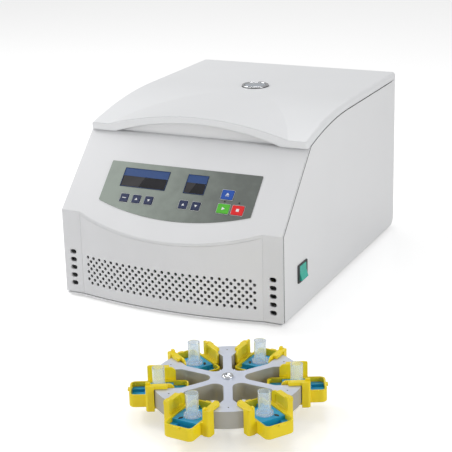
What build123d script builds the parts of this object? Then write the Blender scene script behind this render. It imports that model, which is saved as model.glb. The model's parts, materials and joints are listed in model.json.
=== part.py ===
from build123d import *

import os
from math import cos, radians, sin, tan

os.makedirs("parts", exist_ok=True)

# A bench cytocentrifuge: a cabinet with a hinged lid, and its six-place rotor of swinging
# slide carriers, which stands taken out on the bench in front of the cabinet.
# Millimetres. +Z is up, -Y is the front. The origin is on the bench, at the middle of the set.

# ---------------------------------------------------------------- driving dimensions
# Cabinet, measured from its front strips, its middle and its bottom edge
width = 410.0
depth = 559.0
kink_height = 150.0
slope_angle = 45.0
slope_rise = 115.0
seam_rise = 26.0
seam_run = 185.0
rear_corner_radius = 18.0
side_sheet = 3.0
front_wall = 4.0
rear_sheet = 3.0
tray_sheet = 2.0
foot_height = 5.5
foot_radius = 15.0
foot_inset = 34.0
foot_front = 27.0
foot_rear_inset = 61.0
sheet_gap = 0.3
edge_chamfer = 1.0
rear_drop = 8.0
front_seam = 1.2
tray_lip = 1.5
cut_margin = 1.0
match = 0.01

# Bulged lower fascia between the two side strips
strip_width = 35.0
bulge_at_foot = 18.0
bulge_at_kink = 26.4
fascia_wall = 3.0
grille_columns = 25
grille_rows = 8
grille_pitch = 12.75
grille_row_pitch = 6.6
grille_hole = 5.5
grille_top = 70.0
strip_slots = 5
slot_pitch = 14.3
slot_length = 12.5
slot_height = 8.0
slot_top = 75.5

# Control panel on the slope
overlay_width = 283.0
overlay_top = 104.0
overlay_side_foot = 27.0
overlay_foot = 3.0
overlay_corner = 1.5
overlay_sheet = 0.8
display_middle = 75.0
display_height = 36.5
speed_display_x = -68.5
speed_display_width = 86.5
time_display_x = 28.0
time_display_width = 38.5
display_rebate = 2.0
key_row = 35.5
key_size = 15.0
key_pitch = 23.3
command_width = 21.0
command_height = 17.0
command_gap = 5.0
command_row = 36.8
set_key_x = -94.5
time_key_x = 17.0
command_key_x = 90.0
command_pitch = 26.0
key_proud = 1.0
key_travel = 0.6
key_clearance = 0.3
key_lip = 1.2
key_corner = 1.5
stem_radius = 2.0
button_size = 6.0
button_height = 2.7
board_depth = 14.0
board_height = 86.0
board_side_margin = 15.0
board_sheet = 1.6
boss_radius = 4.0
boss_inset = 6.0
module_inset = 2.0

# Deck, chamber and drive
deck_height = 272.0
deck_sheet = 2.0
riser_setback = 2.0
riser_half_width = 140.0
riser_crown = 17.0
chamber_y = 360.0
chamber_radius = 145.0
chamber_depth = 135.0
chamber_wall = 2.0
chamber_flange = 16.0
bowl_corner = 14.0
seal_setback = 4.0
seal_width = 8.0
shaft_radius = 8.0
shaft_nose = 34.0
shaft_collar_radius = 12.0
shaft_collar_height = 3.0
seat_rise = 15.0
neck_radius = 18.0
motor_gap = 1.5
running_gap = 0.05
motor_radius = 55.0
motor_height = 84.0
motor_flange_radius = 86.0
motor_flange_sheet = 6.0
damper_radius = 11.0
damper_height = 26.0
damper_circle = 72.0
bearing_length = 12.0
armature_radius = 28.0
armature_gap = 2.0
board_standoff = 8.0
power_board_x = -70.0
power_board_y = 120.0
power_board_length = 150.0
power_board_width = 110.0
transformer_length = 50.0
transformer_width = 77.0
transformer_height = 38.0
capacitor_radius = 12.0
capacitor_height = 34.0
capacitor_pitch = 32.0

# Lid
lid_thickness = 14.5
lid_gap = 1.0
lid_wall = 3.0
lid_overhang = 5.0
lid_lip = 13.0
lid_arc_run = 215.0
lid_edge_radius = 6.0
hood_half_width = 170.0
hood_fall = 3.0
hood_run = 209.0
hood_back_arch = 0.5
lip_depth = 12.0
lip_half_width = 156.0
liner_sheet = 3.0
liner_gap = 0.5
liner_clearance = 6.0
liner_rise = 11.0
liner_front = 168.0
liner_back = 14.0
liner_ring = 4.0
liner_boss_side = 30.0
liner_boss_back = 60.0
liner_boss_pitch = 80.0
sight_radius = 20.0
sight_flange = 3.0
sight_dome = 1.5
hinge_reach = 7.0
hinge_drop = 2.0
hinge_barrel = 5.5
hinge_pin = 2.5
hinge_span = 56.0
hinge_x = 120.0
hinge_leaf = 2.0
hinge_leaf_height = 22.0
latch_y = 174.0
latch_wall = 4.0
latch_gap = 1.0
latch_play = 8.0
striker_width = 24.0
striker_bar = 4.0
striker_depth = 33.0
striker_play = 5.0
hook_offset = 9.0
hook_drop = 13.0
hook_hub = 5.0
hook_pin = 2.0
hook_play = 3.0
hook_rise = 26.0
hook_head = 9.0

# Rocker switch and mains inlet
switch_y = 81.0
switch_z = 65.0
switch_width = 40.0
switch_height = 32.0
switch_frame = 2.5
switch_flange = 2.0
switch_depth = 26.0
rocker_width = 27.0
rocker_height = 25.0
rocker_tilt = 9.0
rocker_side_gap = 0.3
rocker_end_gap = 0.8
rocker_proud = 4.0
rocker_waist = 2.6
screw_head = 3.5
screw_height = 1.8
screw_inset = 12.0
inlet_x = -130.0
inlet_z = 62.0
inlet_width = 25.0
inlet_height = 17.0
inlet_depth = 18.0
inlet_flange_width = 50.0
inlet_flange_height = 28.0
inlet_wall = 2.0
inlet_corner = 3.0
inlet_pin_spacing = 14.0
inlet_pin_width = 2.0
inlet_pin_height = 4.0
vent_x = -70.0
vent_z = 120.0
vent_length = 36.0
vent_pitch = 9.0
vent_rows = 9

# Rotor, measured from its own axis
rotor_x = 248.0
rotor_y = -299.0
rotor_turn = -64.1
places = 6
disc_radius = 106.0
disc_thickness = 25.0
arm_width = 12.3
slot_half_width = 30.0
slot_end_radius = 12.0
slot_shoulder_radius = 8.0
hub_drop = 27.0
hub_radius = 19.5
spigot_radius = 11.0
spigot_height = 19.0
bore_clearance = 0.02
bore_depth = 36.0
nut_radius = 8.5
nut_height = 4.0
nut_shank = 4.0
nut_clearance = 0.2
nut_floor = 1.0
dimple_radius = 1.25
dimple_circle = 93.0
pin_radius = 2.0
pin_circle = 77.5
pin_drop = 4.5
pin_grip = 8.0
pin_inset = 1.3
pin_skin = 1.0

# Swinging slide carrier
basket_length = 82.0
basket_width = 45.0
basket_middle = 96.0
basket_wall = 2.5
basket_floor = 2.5
basket_corner = 8.0
basket_edge = 2.0
basket_depth = 19.0
rim_drop = 13.0
ear_start = 73.0
ear_end = 113.0
ear_wall = 3.0
ear_play = 1.5
ear_rise = 5.0
ear_corner = 8.0
tab_length = 7.0
tab_rise = 3.0
tab_corner = 1.4
flange_start = 82.5
flange_reach = 4.5
flange_seat = 0.4
post_reach = 6.0
post_gap = 1.2
post_corner = 4.0
nub_length = 2.5
nub_width = 8.0
panel_margin = 3.0
panel_corner = 3.0
panel_recess = 0.8
slide_length = 76.0
slide_width = 26.0
slide_thickness = 1.0
seat_gap = 0.1
holder_play = 0.3
wing_height = 8.3
block_height = 13.3
block_length = 39.0
channel_width = 22.0
channel_depth = 3.5
tube_radius = 8.75
tube_wall = 1.5
tube_height = 46.0
collar_radius = 12.0
collar_height = 4.5
collar_seat = 2.0
port_radius = 3.5

# ---------------------------------------------------------------- sizes that follow
slope_top = kink_height + slope_rise
slope_run = slope_rise / tan(radians(slope_angle))
slope_length = slope_rise / sin(radians(slope_angle))
side_height = slope_top + seam_rise
seam_end = slope_run + seam_run
crease = width / 2 - strip_width
lid_top = side_height + lid_thickness
hinge_y = depth + hinge_reach
hinge_z = side_height - hinge_drop
liner_height = deck_height + liner_rise
pin_height = hub_drop + disc_thickness - pin_drop
disc_top = hub_drop + disc_thickness
basket_rim = disc_top - rim_drop
basket_bottom = basket_rim - basket_depth
ear_outside = slot_half_width - ear_play
ear_inside = ear_outside - ear_wall
slide_bottom = basket_bottom + basket_floor + seat_gap
slide_top = slide_bottom + slide_thickness
half_step = 180.0 / places


def rotor_reach(direction):
    """How far the carriers reach from the rotor's axis towards a direction, in degrees."""
    far = []
    for place in range(places):
        turn = radians(rotor_turn + half_step * (2 * place + 1) - direction)
        corner = basket_middle + basket_length / 2 - basket_corner
        side = basket_width / 2 - basket_corner
        nub = basket_middle + basket_length / 2 + nub_length
        far.append(corner * cos(turn) + side * abs(sin(turn)) + basket_corner)
        far.append(nub * cos(turn) + nub_width / 2 * abs(sin(turn)))
    return max(far)


# The cabinet's front middle stands where the whole set's footprint is centred on the origin
machine_x = -(rotor_x + rotor_reach(0.0) - width / 2) / 2
machine_y = -(rotor_y - rotor_reach(-90.0) + hinge_y + hinge_barrel) / 2
rotor_axis_x = machine_x + rotor_x
rotor_axis_y = machine_y + rotor_y


# ---------------------------------------------------------------- planes
def across(x):
    """Side view at x: local x runs to the rear, local y runs up, and it faces +X."""
    return Plane(origin=(machine_x + x, machine_y, foot_height), x_dir=(0, 1, 0), z_dir=(1, 0, 0))


def level(z):
    """Plan view at a height above the cabinet's bottom edge."""
    return Plane(origin=(machine_x, machine_y, foot_height + z))


def facing(y):
    """Front view at y: local x runs right, local y runs up, and it faces the front."""
    return Plane(origin=(machine_x, machine_y + y, foot_height), x_dir=(1, 0, 0), z_dir=(0, -1, 0))


def behind(y):
    """Rear view at y: local x runs to -X, local y runs up, and it faces the rear."""
    return Plane(origin=(machine_x, machine_y + y, foot_height), x_dir=(-1, 0, 0), z_dir=(0, 1, 0))


def on_slope(height):
    """Plane parallel to the control slope: local x runs right, local y runs up from the kink."""
    tilt = radians(slope_angle)
    face = Plane(origin=facing(0).origin + Vector(0, 0, kink_height), x_dir=(1, 0, 0),
                 z_dir=(0, -sin(tilt), cos(tilt)))
    return face.offset(height)


def rotor_plan(z, turn=0.0):
    """Plan view on the rotor's axis, at a height above the bench, turned from the first arm."""
    heading = radians(rotor_turn + turn)
    return Plane(origin=(rotor_axis_x, rotor_axis_y, z), x_dir=(cos(heading), sin(heading), 0))


def rotor_side(turn, sideways):
    """Side view of one carrier: local x runs outwards, local y up, offset across the carrier."""
    heading = radians(rotor_turn + turn)
    outwards = Vector(cos(heading), sin(heading), 0)
    normal = Vector(sin(heading), -cos(heading), 0)
    origin = Vector(rotor_axis_x, rotor_axis_y, 0) + normal * sideways
    return Plane(origin=origin, x_dir=outwards, z_dir=normal)


def save(piece, label):
    """Label a finished piece and write it."""
    piece.part.label = label
    export_step(piece.part, f"parts/{label}.step")


# ---------------------------------------------------------------- cabinet outline
def side_outline(top_gap=0.0):
    """Cabinet seen from its side, up to the lid seam."""
    top = side_height - top_gap
    with BuildSketch() as outline:
        with BuildLine():
            Polyline((seam_end, top), (depth, top), (depth, rear_corner_radius))
            TangentArc((depth, rear_corner_radius), (depth - rear_corner_radius, 0),
                       tangent=(0, -1))
            Polyline((depth - rear_corner_radius, 0), (0, 0), (0, kink_height),
                     (slope_run, slope_top - top_gap))
            TangentArc((seam_end, top), (slope_run, slope_top - top_gap), tangent=(-1, 0))
        make_face()
    return outline.sketch


def slope_band(start, end, thickness):
    """Side view of the slope's wall between two distances along it, made on its own face."""
    tilt = radians(slope_angle)
    along = Vector(cos(tilt), sin(tilt))
    inwards = Vector(sin(tilt), -cos(tilt)) * thickness
    kink = Vector(0, kink_height)
    corners = (kink + along * start, kink + along * end,
               kink + along * end + inwards, kink + along * start + inwards)
    return [(corner.X, corner.Y) for corner in corners]


def bulge_outline(sagitta, back):
    """Plan of the bulged front between the creases, closed some way behind the strips."""
    with BuildSketch() as outline:
        with BuildLine():
            SagittaArc((-crease, 0), (crease, 0), -sagitta)
            Polyline((crease, 0), (crease, back), (-crease, back), (-crease, 0))
        make_face()
    return outline.sketch


with BuildPart() as bulge:
    with BuildSketch(level(0)):
        add(bulge_outline(bulge_at_foot, front_wall))
    with BuildSketch(level(kink_height)):
        add(bulge_outline(bulge_at_kink, front_wall))
    loft(ruled=True)

# ---------------------------------------------------------------- cabinet shells
slope_reach = 2 * bulge_at_kink
strip_x = crease + strip_width / 2

with BuildPart() as nose:
    with BuildSketch(across(-crease)):
        Polygon(slope_band(-slope_reach, 2 * front_wall, front_wall))
    extrude(amount=2 * crease)
    add(bulge.part, mode=Mode.INTERSECT)

display_frames = ((speed_display_x, speed_display_width), (time_display_x, time_display_width))
stop_key_x = command_key_x + command_width + command_gap
keys = {
    "set_key": (set_key_x, key_row, key_size, key_size),
    "speed_up_key": (set_key_x + key_pitch, key_row, key_size, key_size),
    "speed_down_key": (set_key_x + 2 * key_pitch, key_row, key_size, key_size),
    "time_up_key": (time_key_x, key_row, key_size, key_size),
    "time_down_key": (time_key_x + key_pitch, key_row, key_size, key_size),
    "open_key": (command_key_x, command_row + command_pitch, command_width, command_height),
    "start_key": (command_key_x, command_row, command_width, command_height),
    "stop_key": (stop_key_x, command_row, command_width, command_height),
}


def key_holes(mode=Mode.ADD):
    """Holes of all keys, with their clearance all round."""
    for x, v, cap_width, cap_height in keys.values():
        with Locations((x, v)):
            Rectangle(cap_width + 2 * key_clearance, cap_height + 2 * key_clearance, mode=mode)


def display_holes(mode=Mode.ADD):
    """Outlines of both display windows."""
    for x, window_width in display_frames:
        with Locations((x, display_middle)):
            Rectangle(window_width, display_height, mode=mode)


board_middle_v = (overlay_top + overlay_foot) / 2
board_length = overlay_width - 2 * board_side_margin
boss_spacing_x = board_length - 2 * boss_inset
boss_spacing_v = board_height - 2 * boss_inset

with BuildPart() as front_panel:
    with BuildSketch(across(-width / 2)):
        add(side_outline(sheet_gap))
        Polygon(slope_band(0, slope_length + front_wall, front_wall), mode=Mode.INTERSECT)
    extrude(amount=width)
    add(nose.part)
    for side in (-1, 1):
        with BuildSketch(facing(0)):
            with Locations((side * strip_x, front_seam)):
                Rectangle(strip_width, kink_height - front_seam, align=(Align.CENTER, Align.MIN))
        extrude(amount=-front_wall)
    with BuildSketch(facing(0)):
        slot_middle = slot_top - slot_pitch * (strip_slots - 1) / 2
        with Locations((0, slot_middle)):
            with GridLocations(2 * strip_x, slot_pitch, 2, strip_slots):
                SlotOverall(slot_length, slot_height)
    extrude(amount=-front_wall, mode=Mode.SUBTRACT)
    with BuildSketch(on_slope(0)):
        key_holes()
        display_holes()
    extrude(amount=-front_wall, mode=Mode.SUBTRACT)
    with BuildSketch(on_slope(-front_wall)):
        with Locations((0, board_middle_v)):
            with GridLocations(boss_spacing_x, boss_spacing_v, 2, 2):
                Circle(boss_radius)
    extrude(amount=-(board_depth - front_wall))
save(front_panel, "front_panel")


def fascia_band(sagitta):
    """Plan of the bulged wall between the creases."""
    with BuildSketch() as band:
        with BuildLine():
            SagittaArc((-crease, 0), (crease, 0), -sagitta)
            Line((crease, 0), (crease, fascia_wall))
            SagittaArc((-crease, fascia_wall), (crease, fascia_wall), -sagitta)
            Line((-crease, 0), (-crease, fascia_wall))
        make_face()
    return band.sketch


with BuildPart() as lower_fascia:
    with BuildSketch(level(front_seam)):
        add(fascia_band(bulge_at_foot))
    with BuildSketch(level(kink_height)):
        add(fascia_band(bulge_at_kink))
    loft(ruled=True)
    with BuildSketch(across(-width / 2)):
        Polygon(slope_band(-2 * slope_reach, 2 * slope_reach, front_wall)[2:]
                + slope_band(-2 * slope_reach, 2 * slope_reach, -kink_height)[2:][::-1])
    extrude(amount=width, mode=Mode.SUBTRACT)
    with BuildSketch(facing(-2 * bulge_at_kink)):
        for row in range(grille_rows):
            stagger = grille_pitch / 4 * (1 if row % 2 else -1)
            with Locations((stagger, grille_top - row * grille_row_pitch)):
                with GridLocations(grille_pitch, grille_row_pitch, grille_columns, 1):
                    Circle(grille_hole / 2)
    extrude(amount=-3 * bulge_at_kink, mode=Mode.SUBTRACT)
save(lower_fascia, "lower_fascia")

side_setback = front_wall + front_seam

for side, label in ((-1, "side_panel_left"), (1, "side_panel_right")):
    with BuildPart() as side_panel:
        with BuildSketch(across(side * width / 2)):
            add(side_outline())
            Polygon(slope_band(-front_wall, slope_length + front_wall, side_setback),
                    mode=Mode.SUBTRACT)
            with Locations((0, 0)):
                Rectangle(side_setback, kink_height, align=Align.MIN, mode=Mode.SUBTRACT)
            if side > 0:
                with Locations((switch_y, switch_z)):
                    Rectangle(switch_width - 2 * switch_frame, switch_height - switch_frame,
                              mode=Mode.SUBTRACT)
        extrude(amount=-side * side_sheet)
    save(side_panel, label)

motor_top = deck_height - deck_sheet - chamber_depth - chamber_wall - motor_gap
post_height = motor_top - motor_flange_sheet - damper_height

with BuildPart() as base_tray:
    tray_side = width - 2 * side_sheet
    with BuildSketch(level(0)):
        with Locations((0, -tray_lip)):
            Rectangle(tray_side, depth - rear_corner_radius + rear_sheet + tray_lip,
                      align=(Align.CENTER, Align.MIN))
            add(bulge_outline(bulge_at_foot, front_wall))
    extrude(amount=-tray_sheet)
    with BuildSketch(level(0)):
        with Locations((0, chamber_y)):
            with PolarLocations(damper_circle, 4, start_angle=45):
                Circle(damper_radius)
    extrude(amount=post_height)
save(base_tray, "base_tray")

rear_top = side_height - rear_drop

with BuildPart() as rear_panel:
    with BuildSketch(across(side_sheet - width / 2)):
        with BuildLine():
            bend_y = depth - rear_corner_radius
            Line((depth, rear_top), (depth, rear_corner_radius))
            TangentArc((depth, rear_corner_radius), (bend_y, 0), tangent=(0, -1))
            Line((bend_y, 0), (bend_y, rear_sheet))
            TangentArc((bend_y, rear_sheet), (depth - rear_sheet, rear_corner_radius),
                       tangent=(1, 0))
            Polyline((depth - rear_sheet, rear_corner_radius), (depth - rear_sheet, rear_top),
                     (depth, rear_top))
        make_face()
    extrude(amount=width - 2 * side_sheet)
    with BuildSketch(behind(depth)):
        with Locations((vent_x, vent_z)):
            with GridLocations(vent_length + vent_pitch, vent_pitch, 3, vent_rows):
                SlotOverall(vent_length, vent_pitch / 2)
        with Locations((-inlet_x, inlet_z)):
            Rectangle(inlet_width + 4 * inlet_wall, inlet_height + 4 * inlet_wall)
    extrude(amount=-rear_sheet, mode=Mode.SUBTRACT)
save(rear_panel, "rear_panel")

riser_y = slope_run + front_wall / sin(radians(slope_angle)) + riser_setback
deck_back = depth - rear_sheet - sheet_gap
deck_width = width - 2 * side_sheet - 2 * sheet_gap

with BuildPart() as top_deck:
    with BuildSketch(level(deck_height)):
        with Locations((0, riser_y)):
            Rectangle(deck_width, deck_back - riser_y, align=(Align.CENTER, Align.MIN))
        with Locations((0, chamber_y)):
            Circle(chamber_radius + sheet_gap, mode=Mode.SUBTRACT)
        with Locations((0, latch_y)):
            Rectangle(striker_width + 2 * hook_play, striker_bar + 2 * striker_play,
                      mode=Mode.SUBTRACT)
    extrude(amount=-deck_sheet)
    with BuildSketch(facing(riser_y)):
        with Locations((0, slope_top - deck_sheet)):
            Rectangle(deck_width, deck_height - slope_top + deck_sheet,
                      align=(Align.CENTER, Align.MIN))
        with BuildLine():
            SagittaArc((-riser_half_width, deck_height), (riser_half_width, deck_height),
                       riser_crown)
            Line((-riser_half_width, deck_height), (riser_half_width, deck_height))
        make_face()
    extrude(amount=-deck_sheet)
save(top_deck, "top_deck")

with BuildPart() as control_overlay:
    with BuildSketch(on_slope(0)) as overlay_face:
        with BuildLine():
            half = overlay_width / 2
            Polyline((-half, overlay_side_foot), (-half, overlay_top), (half, overlay_top),
                     (half, overlay_side_foot))
            ThreePointArc((half, overlay_side_foot), (0, overlay_foot), (-half, overlay_side_foot))
        make_face()
        fillet(overlay_face.vertices(), overlay_corner)
        key_holes(Mode.SUBTRACT)
        display_holes(Mode.SUBTRACT)
    extrude(amount=overlay_sheet)
save(control_overlay, "control_overlay")

with BuildPart() as display_windows:
    with BuildSketch(on_slope(overlay_sheet)):
        display_holes()
    extrude(amount=-overlay_sheet - display_rebate)
save(display_windows, "display_windows")

key_lip_top = -front_wall - key_clearance
stem_end = -board_depth + button_height + key_travel + key_clearance

for label, (x, v, cap_width, cap_height) in keys.items():
    with BuildPart() as key:
        with BuildSketch(on_slope(overlay_sheet + key_proud)):
            with Locations((x, v)):
                RectangleRounded(cap_width, cap_height, key_corner)
        extrude(amount=key_lip_top - overlay_sheet - key_proud)
        with BuildSketch(on_slope(key_lip_top)):
            with Locations((x, v)):
                Rectangle(cap_width + 2 * key_clearance + key_lip,
                          cap_height + 2 * key_clearance + key_lip)
        extrude(amount=-key_lip)
        with BuildSketch(on_slope(key_lip_top - key_lip)):
            with Locations((x, v)):
                Circle(stem_radius)
        extrude(amount=stem_end - key_lip_top + key_lip)
    save(key, label)

with BuildPart() as control_board:
    with BuildSketch(on_slope(-board_depth)):
        with Locations((0, board_middle_v)):
            Rectangle(board_length, board_height)
    extrude(amount=-board_sheet)
    with BuildSketch(on_slope(-board_depth)):
        for x, window_width in display_frames:
            with Locations((x, display_middle)):
                Rectangle(window_width - 2 * module_inset, display_height - 2 * module_inset)
    extrude(amount=board_depth - display_rebate)
    with BuildSketch(on_slope(-board_depth)):
        for x, v, *cap_size in keys.values():
            with Locations((x, v)):
                Rectangle(button_size, button_size)
    extrude(amount=button_height)
save(control_board, "control_board")

# ---------------------------------------------------------------- chamber and drive
flange_level = deck_height - deck_sheet
bowl_floor = flange_level - chamber_depth
shaft_seat = bowl_floor + seat_rise
neck_top = shaft_seat - shaft_collar_height - motor_gap
motor_bottom = motor_top - motor_flange_sheet - motor_height

with BuildPart() as chamber_bowl:
    with BuildSketch(across(0)):
        outside = chamber_radius + chamber_wall
        with Locations((chamber_y, bowl_floor - chamber_wall)):
            Rectangle(outside, chamber_depth + chamber_wall, align=Align.MIN)
        with Locations((chamber_y, flange_level - chamber_wall)):
            Rectangle(outside + chamber_flange, chamber_wall, align=Align.MIN)
        with Locations((chamber_y, bowl_floor)):
            Rectangle(chamber_radius, chamber_depth, align=Align.MIN, mode=Mode.SUBTRACT)
        with Locations((chamber_y, bowl_floor - chamber_wall)):
            Rectangle(neck_radius + armature_gap, chamber_wall, align=Align.MIN,
                      mode=Mode.SUBTRACT)
    revolve(axis=Axis(across(0).from_local_coords((chamber_y, 0, 0)), (0, 0, 1)))
    fillet(chamber_bowl.edges().filter_by(GeomType.CIRCLE).filter_by(
        lambda edge: abs(edge.radius - chamber_radius) < match).sort_by(Axis.Z)[0], bowl_corner)
save(chamber_bowl, "chamber_bowl")

with BuildPart() as chamber_seal:
    with BuildSketch(level(deck_height)):
        with Locations((0, chamber_y)):
            Circle(chamber_radius + seal_setback + seal_width)
            Circle(chamber_radius + seal_setback, mode=Mode.SUBTRACT)
    extrude(amount=liner_height - deck_height - liner_gap)
save(chamber_seal, "chamber_seal")

with BuildPart() as motor_housing:
    with BuildSketch(across(0)):
        with Locations((chamber_y, motor_bottom)):
            Rectangle(motor_radius, motor_height, align=Align.MIN)
        with Locations((chamber_y, motor_top - motor_flange_sheet)):
            Rectangle(motor_flange_radius, motor_flange_sheet, align=Align.MIN)
        with Locations((chamber_y, motor_top)):
            Rectangle(neck_radius, neck_top - motor_top, align=Align.MIN)
        with Locations((chamber_y, motor_bottom)):
            Rectangle(shaft_radius + running_gap, neck_top - motor_bottom, align=Align.MIN,
                      mode=Mode.SUBTRACT)
        with Locations((chamber_y, motor_bottom + bearing_length)):
            Rectangle(armature_radius + armature_gap, motor_height - 2 * bearing_length,
                      align=Align.MIN, mode=Mode.SUBTRACT)
    revolve(axis=Axis(across(0).from_local_coords((chamber_y, 0, 0)), (0, 0, 1)))
save(motor_housing, "motor_housing")

with BuildPart() as motor_dampers:
    with BuildSketch(level(motor_top - motor_flange_sheet)):
        with Locations((0, chamber_y)):
            with PolarLocations(damper_circle, 4, start_angle=45):
                Circle(damper_radius)
    extrude(amount=-damper_height)
save(motor_dampers, "motor_dampers")

with BuildPart() as drive_shaft:
    with BuildSketch(level(motor_bottom + bearing_length / 2)):
        with Locations((0, chamber_y)):
            Circle(shaft_radius)
    extrude(amount=shaft_seat + shaft_nose - motor_bottom - bearing_length / 2)
    with BuildSketch(level(shaft_seat)):
        with Locations((0, chamber_y)):
            Circle(shaft_collar_radius)
    extrude(amount=-shaft_collar_height)
    with BuildSketch(level(motor_bottom + bearing_length + armature_gap)):
        with Locations((0, chamber_y)):
            Circle(armature_radius)
    extrude(amount=motor_height - 2 * bearing_length - 2 * armature_gap)
    with Locations(level(shaft_seat + shaft_nose).location * Location((0, chamber_y, 0))):
        Hole(nut_shank, depth=shaft_nose / 2)
    chamfer(drive_shaft.edges().filter_by(GeomType.CIRCLE).sort_by(Axis.Z)[-2:].sort_by(
        SortBy.RADIUS)[-1], edge_chamfer)
save(drive_shaft, "drive_shaft")

with BuildPart() as power_board:
    with BuildSketch(level(board_standoff)):
        with Locations((power_board_x, power_board_y)):
            Rectangle(power_board_length, power_board_width)
    extrude(amount=board_sheet)
    with BuildSketch(level(0)):
        with Locations((power_board_x, power_board_y)):
            with GridLocations(power_board_length - 2 * boss_inset,
                               power_board_width - 2 * boss_inset, 2, 2):
                Circle(boss_radius)
    extrude(amount=board_standoff)
    with BuildSketch(level(board_standoff + board_sheet)):
        with Locations((power_board_x + power_board_length / 4, power_board_y)):
            Rectangle(transformer_length, transformer_width)
    extrude(amount=transformer_height)
    with BuildSketch(level(board_standoff + board_sheet)):
        with Locations((power_board_x - power_board_length / 4, power_board_y)):
            with GridLocations(capacitor_pitch, capacitor_pitch, 2, 2):
                Circle(capacitor_radius)
    extrude(amount=capacitor_height)
save(power_board, "power_board")

with BuildPart() as rubber_feet:
    with BuildSketch(level(-tray_sheet)):
        with Locations((0, (foot_front + depth - foot_rear_inset) / 2)):
            with GridLocations(width - 2 * foot_inset, depth - foot_rear_inset - foot_front, 2, 2):
                Circle(foot_radius)
    extrude(amount=-(foot_height - tray_sheet))
save(rubber_feet, "rubber_feet")

# ---------------------------------------------------------------- switch and inlet
switch_plane = across(width / 2)
rocker_half = rocker_height / 2
cavity_height = rocker_height + 2 * rocker_end_gap
cavity_width = rocker_width + 2 * rocker_side_gap

with BuildPart() as switch_housing:
    with BuildSketch(switch_plane):
        with Locations((switch_y, switch_z)):
            RectangleRounded(switch_width, switch_height, switch_frame)
    extrude(amount=switch_flange)
    with BuildSketch(switch_plane):
        with Locations((switch_y, switch_z)):
            Rectangle(switch_width - 2 * switch_frame, switch_height - switch_frame)
    extrude(amount=-switch_depth)
    with BuildSketch(switch_plane.offset(switch_flange)):
        with Locations((switch_y, switch_z)):
            Rectangle(cavity_width, cavity_height)
    extrude(amount=-rocker_half - switch_flange - rocker_end_gap, mode=Mode.SUBTRACT)
save(switch_housing, "switch_housing")

# The rocker is drawn about its pivot, then leans with its lower half standing proud
rocker_pivot = switch_plane.location * Location((switch_y, switch_z, 0))
rocker_plane = Plane(rocker_pivot * Location((0, 0, 0), (-rocker_tilt, 0, 0)))
with BuildPart() as power_rocker:
    with BuildSketch(Plane(origin=rocker_plane.origin, x_dir=rocker_plane.z_dir,
                           z_dir=-rocker_plane.x_dir)):
        with BuildLine():
            Polyline((0, -rocker_half), (rocker_proud, -rocker_half), (rocker_waist, 0),
                     (rocker_proud, rocker_half), (0, rocker_half))
            ThreePointArc((0, rocker_half), (-rocker_half, 0), (0, -rocker_half))
        make_face()
    extrude(amount=rocker_width / 2, both=True)
save(power_rocker, "power_rocker")

with BuildPart() as mains_inlet:
    with BuildSketch(behind(depth)):
        with Locations((-inlet_x, inlet_z)):
            RectangleRounded(inlet_flange_width, inlet_flange_height, inlet_corner)
    extrude(amount=inlet_wall)
    with BuildSketch(behind(depth)):
        with Locations((-inlet_x, inlet_z)):
            Rectangle(inlet_width + 4 * inlet_wall, inlet_height + 4 * inlet_wall)
    extrude(amount=-inlet_depth - inlet_wall)
    with BuildSketch(behind(depth + inlet_wall)):
        with Locations((-inlet_x, inlet_z)):
            Rectangle(inlet_width, inlet_height)
    extrude(amount=-inlet_depth, mode=Mode.SUBTRACT)
    with BuildSketch(behind(depth + inlet_wall - inlet_depth)):
        with Locations((-inlet_x, inlet_z + inlet_height / 4)):
            with GridLocations(inlet_pin_spacing / 2, inlet_pin_height, 3, 1):
                Rectangle(inlet_pin_width, inlet_pin_height)
    extrude(amount=inlet_depth - inlet_wall)
save(mains_inlet, "mains_inlet")

with BuildPart() as rear_screws:
    with BuildSketch(behind(depth)):
        with Locations((0, (rear_top + rear_corner_radius) / 2)):
            with GridLocations(width - 2 * side_sheet - 2 * screw_inset,
                               rear_top - rear_corner_radius - 2 * screw_inset, 2, 2):
                Circle(screw_head)
    extrude(amount=screw_height)
save(rear_screws, "rear_screws")

# ---------------------------------------------------------------- lid
lid_front = slope_run - lid_overhang
lip_crown = lid_top - hood_fall - lip_depth
lip_foot = slope_top + lid_gap


def lid_outline(inset):
    """Lid seen from its side. The inner face lies inset and runs on below the seam."""
    drop = lid_gap if inset == 0 else -4 * lid_lip
    top = lid_top - inset
    front = lid_front + inset
    back = depth - inset
    with BuildSketch() as outline:
        with BuildLine():
            Polyline((front + lid_arc_run, top), (back, top), (back, side_height + drop),
                     (seam_end, side_height + drop))
            TangentArc((seam_end, side_height + drop), (slope_run, slope_top + drop),
                       tangent=(-1, 0))
            Polyline((slope_run, slope_top + drop), (front, slope_top + drop),
                     (front, slope_top + lid_lip - inset))
            TangentArc((front + lid_arc_run, top), (front, slope_top + lid_lip - inset),
                       tangent=(-1, 0))
        make_face()
    return outline.sketch


def hood_end(crown, shoulder, inset):
    """Arched cross-section of the hood, from the deck up to its crown."""
    half = hood_half_width - inset
    foot = slope_top + lid_lip / 2
    with BuildSketch() as end:
        with BuildLine():
            Polyline((half, shoulder), (half, foot), (-half, foot), (-half, shoulder))
            if crown > shoulder:
                SagittaArc((-half, shoulder), (half, shoulder), crown - shoulder)
            else:
                Line((-half, shoulder), (half, shoulder))
        make_face()
    return end.sketch


with BuildPart() as lid_hollow:
    with BuildSketch(across(lid_wall - width / 2)):
        add(lid_outline(lid_wall))
    extrude(amount=width - 2 * lid_wall)
    with BuildSketch(facing(lid_front + lid_wall)):
        add(hood_end(lid_top - hood_fall - lid_wall, slope_top + lid_lip - lid_wall, lid_wall))
    with BuildSketch(facing(lid_front + hood_run)):
        add(hood_end(lid_top - lid_wall, lid_top - lid_wall - hood_back_arch, lid_wall))
    loft(ruled=True)

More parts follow.
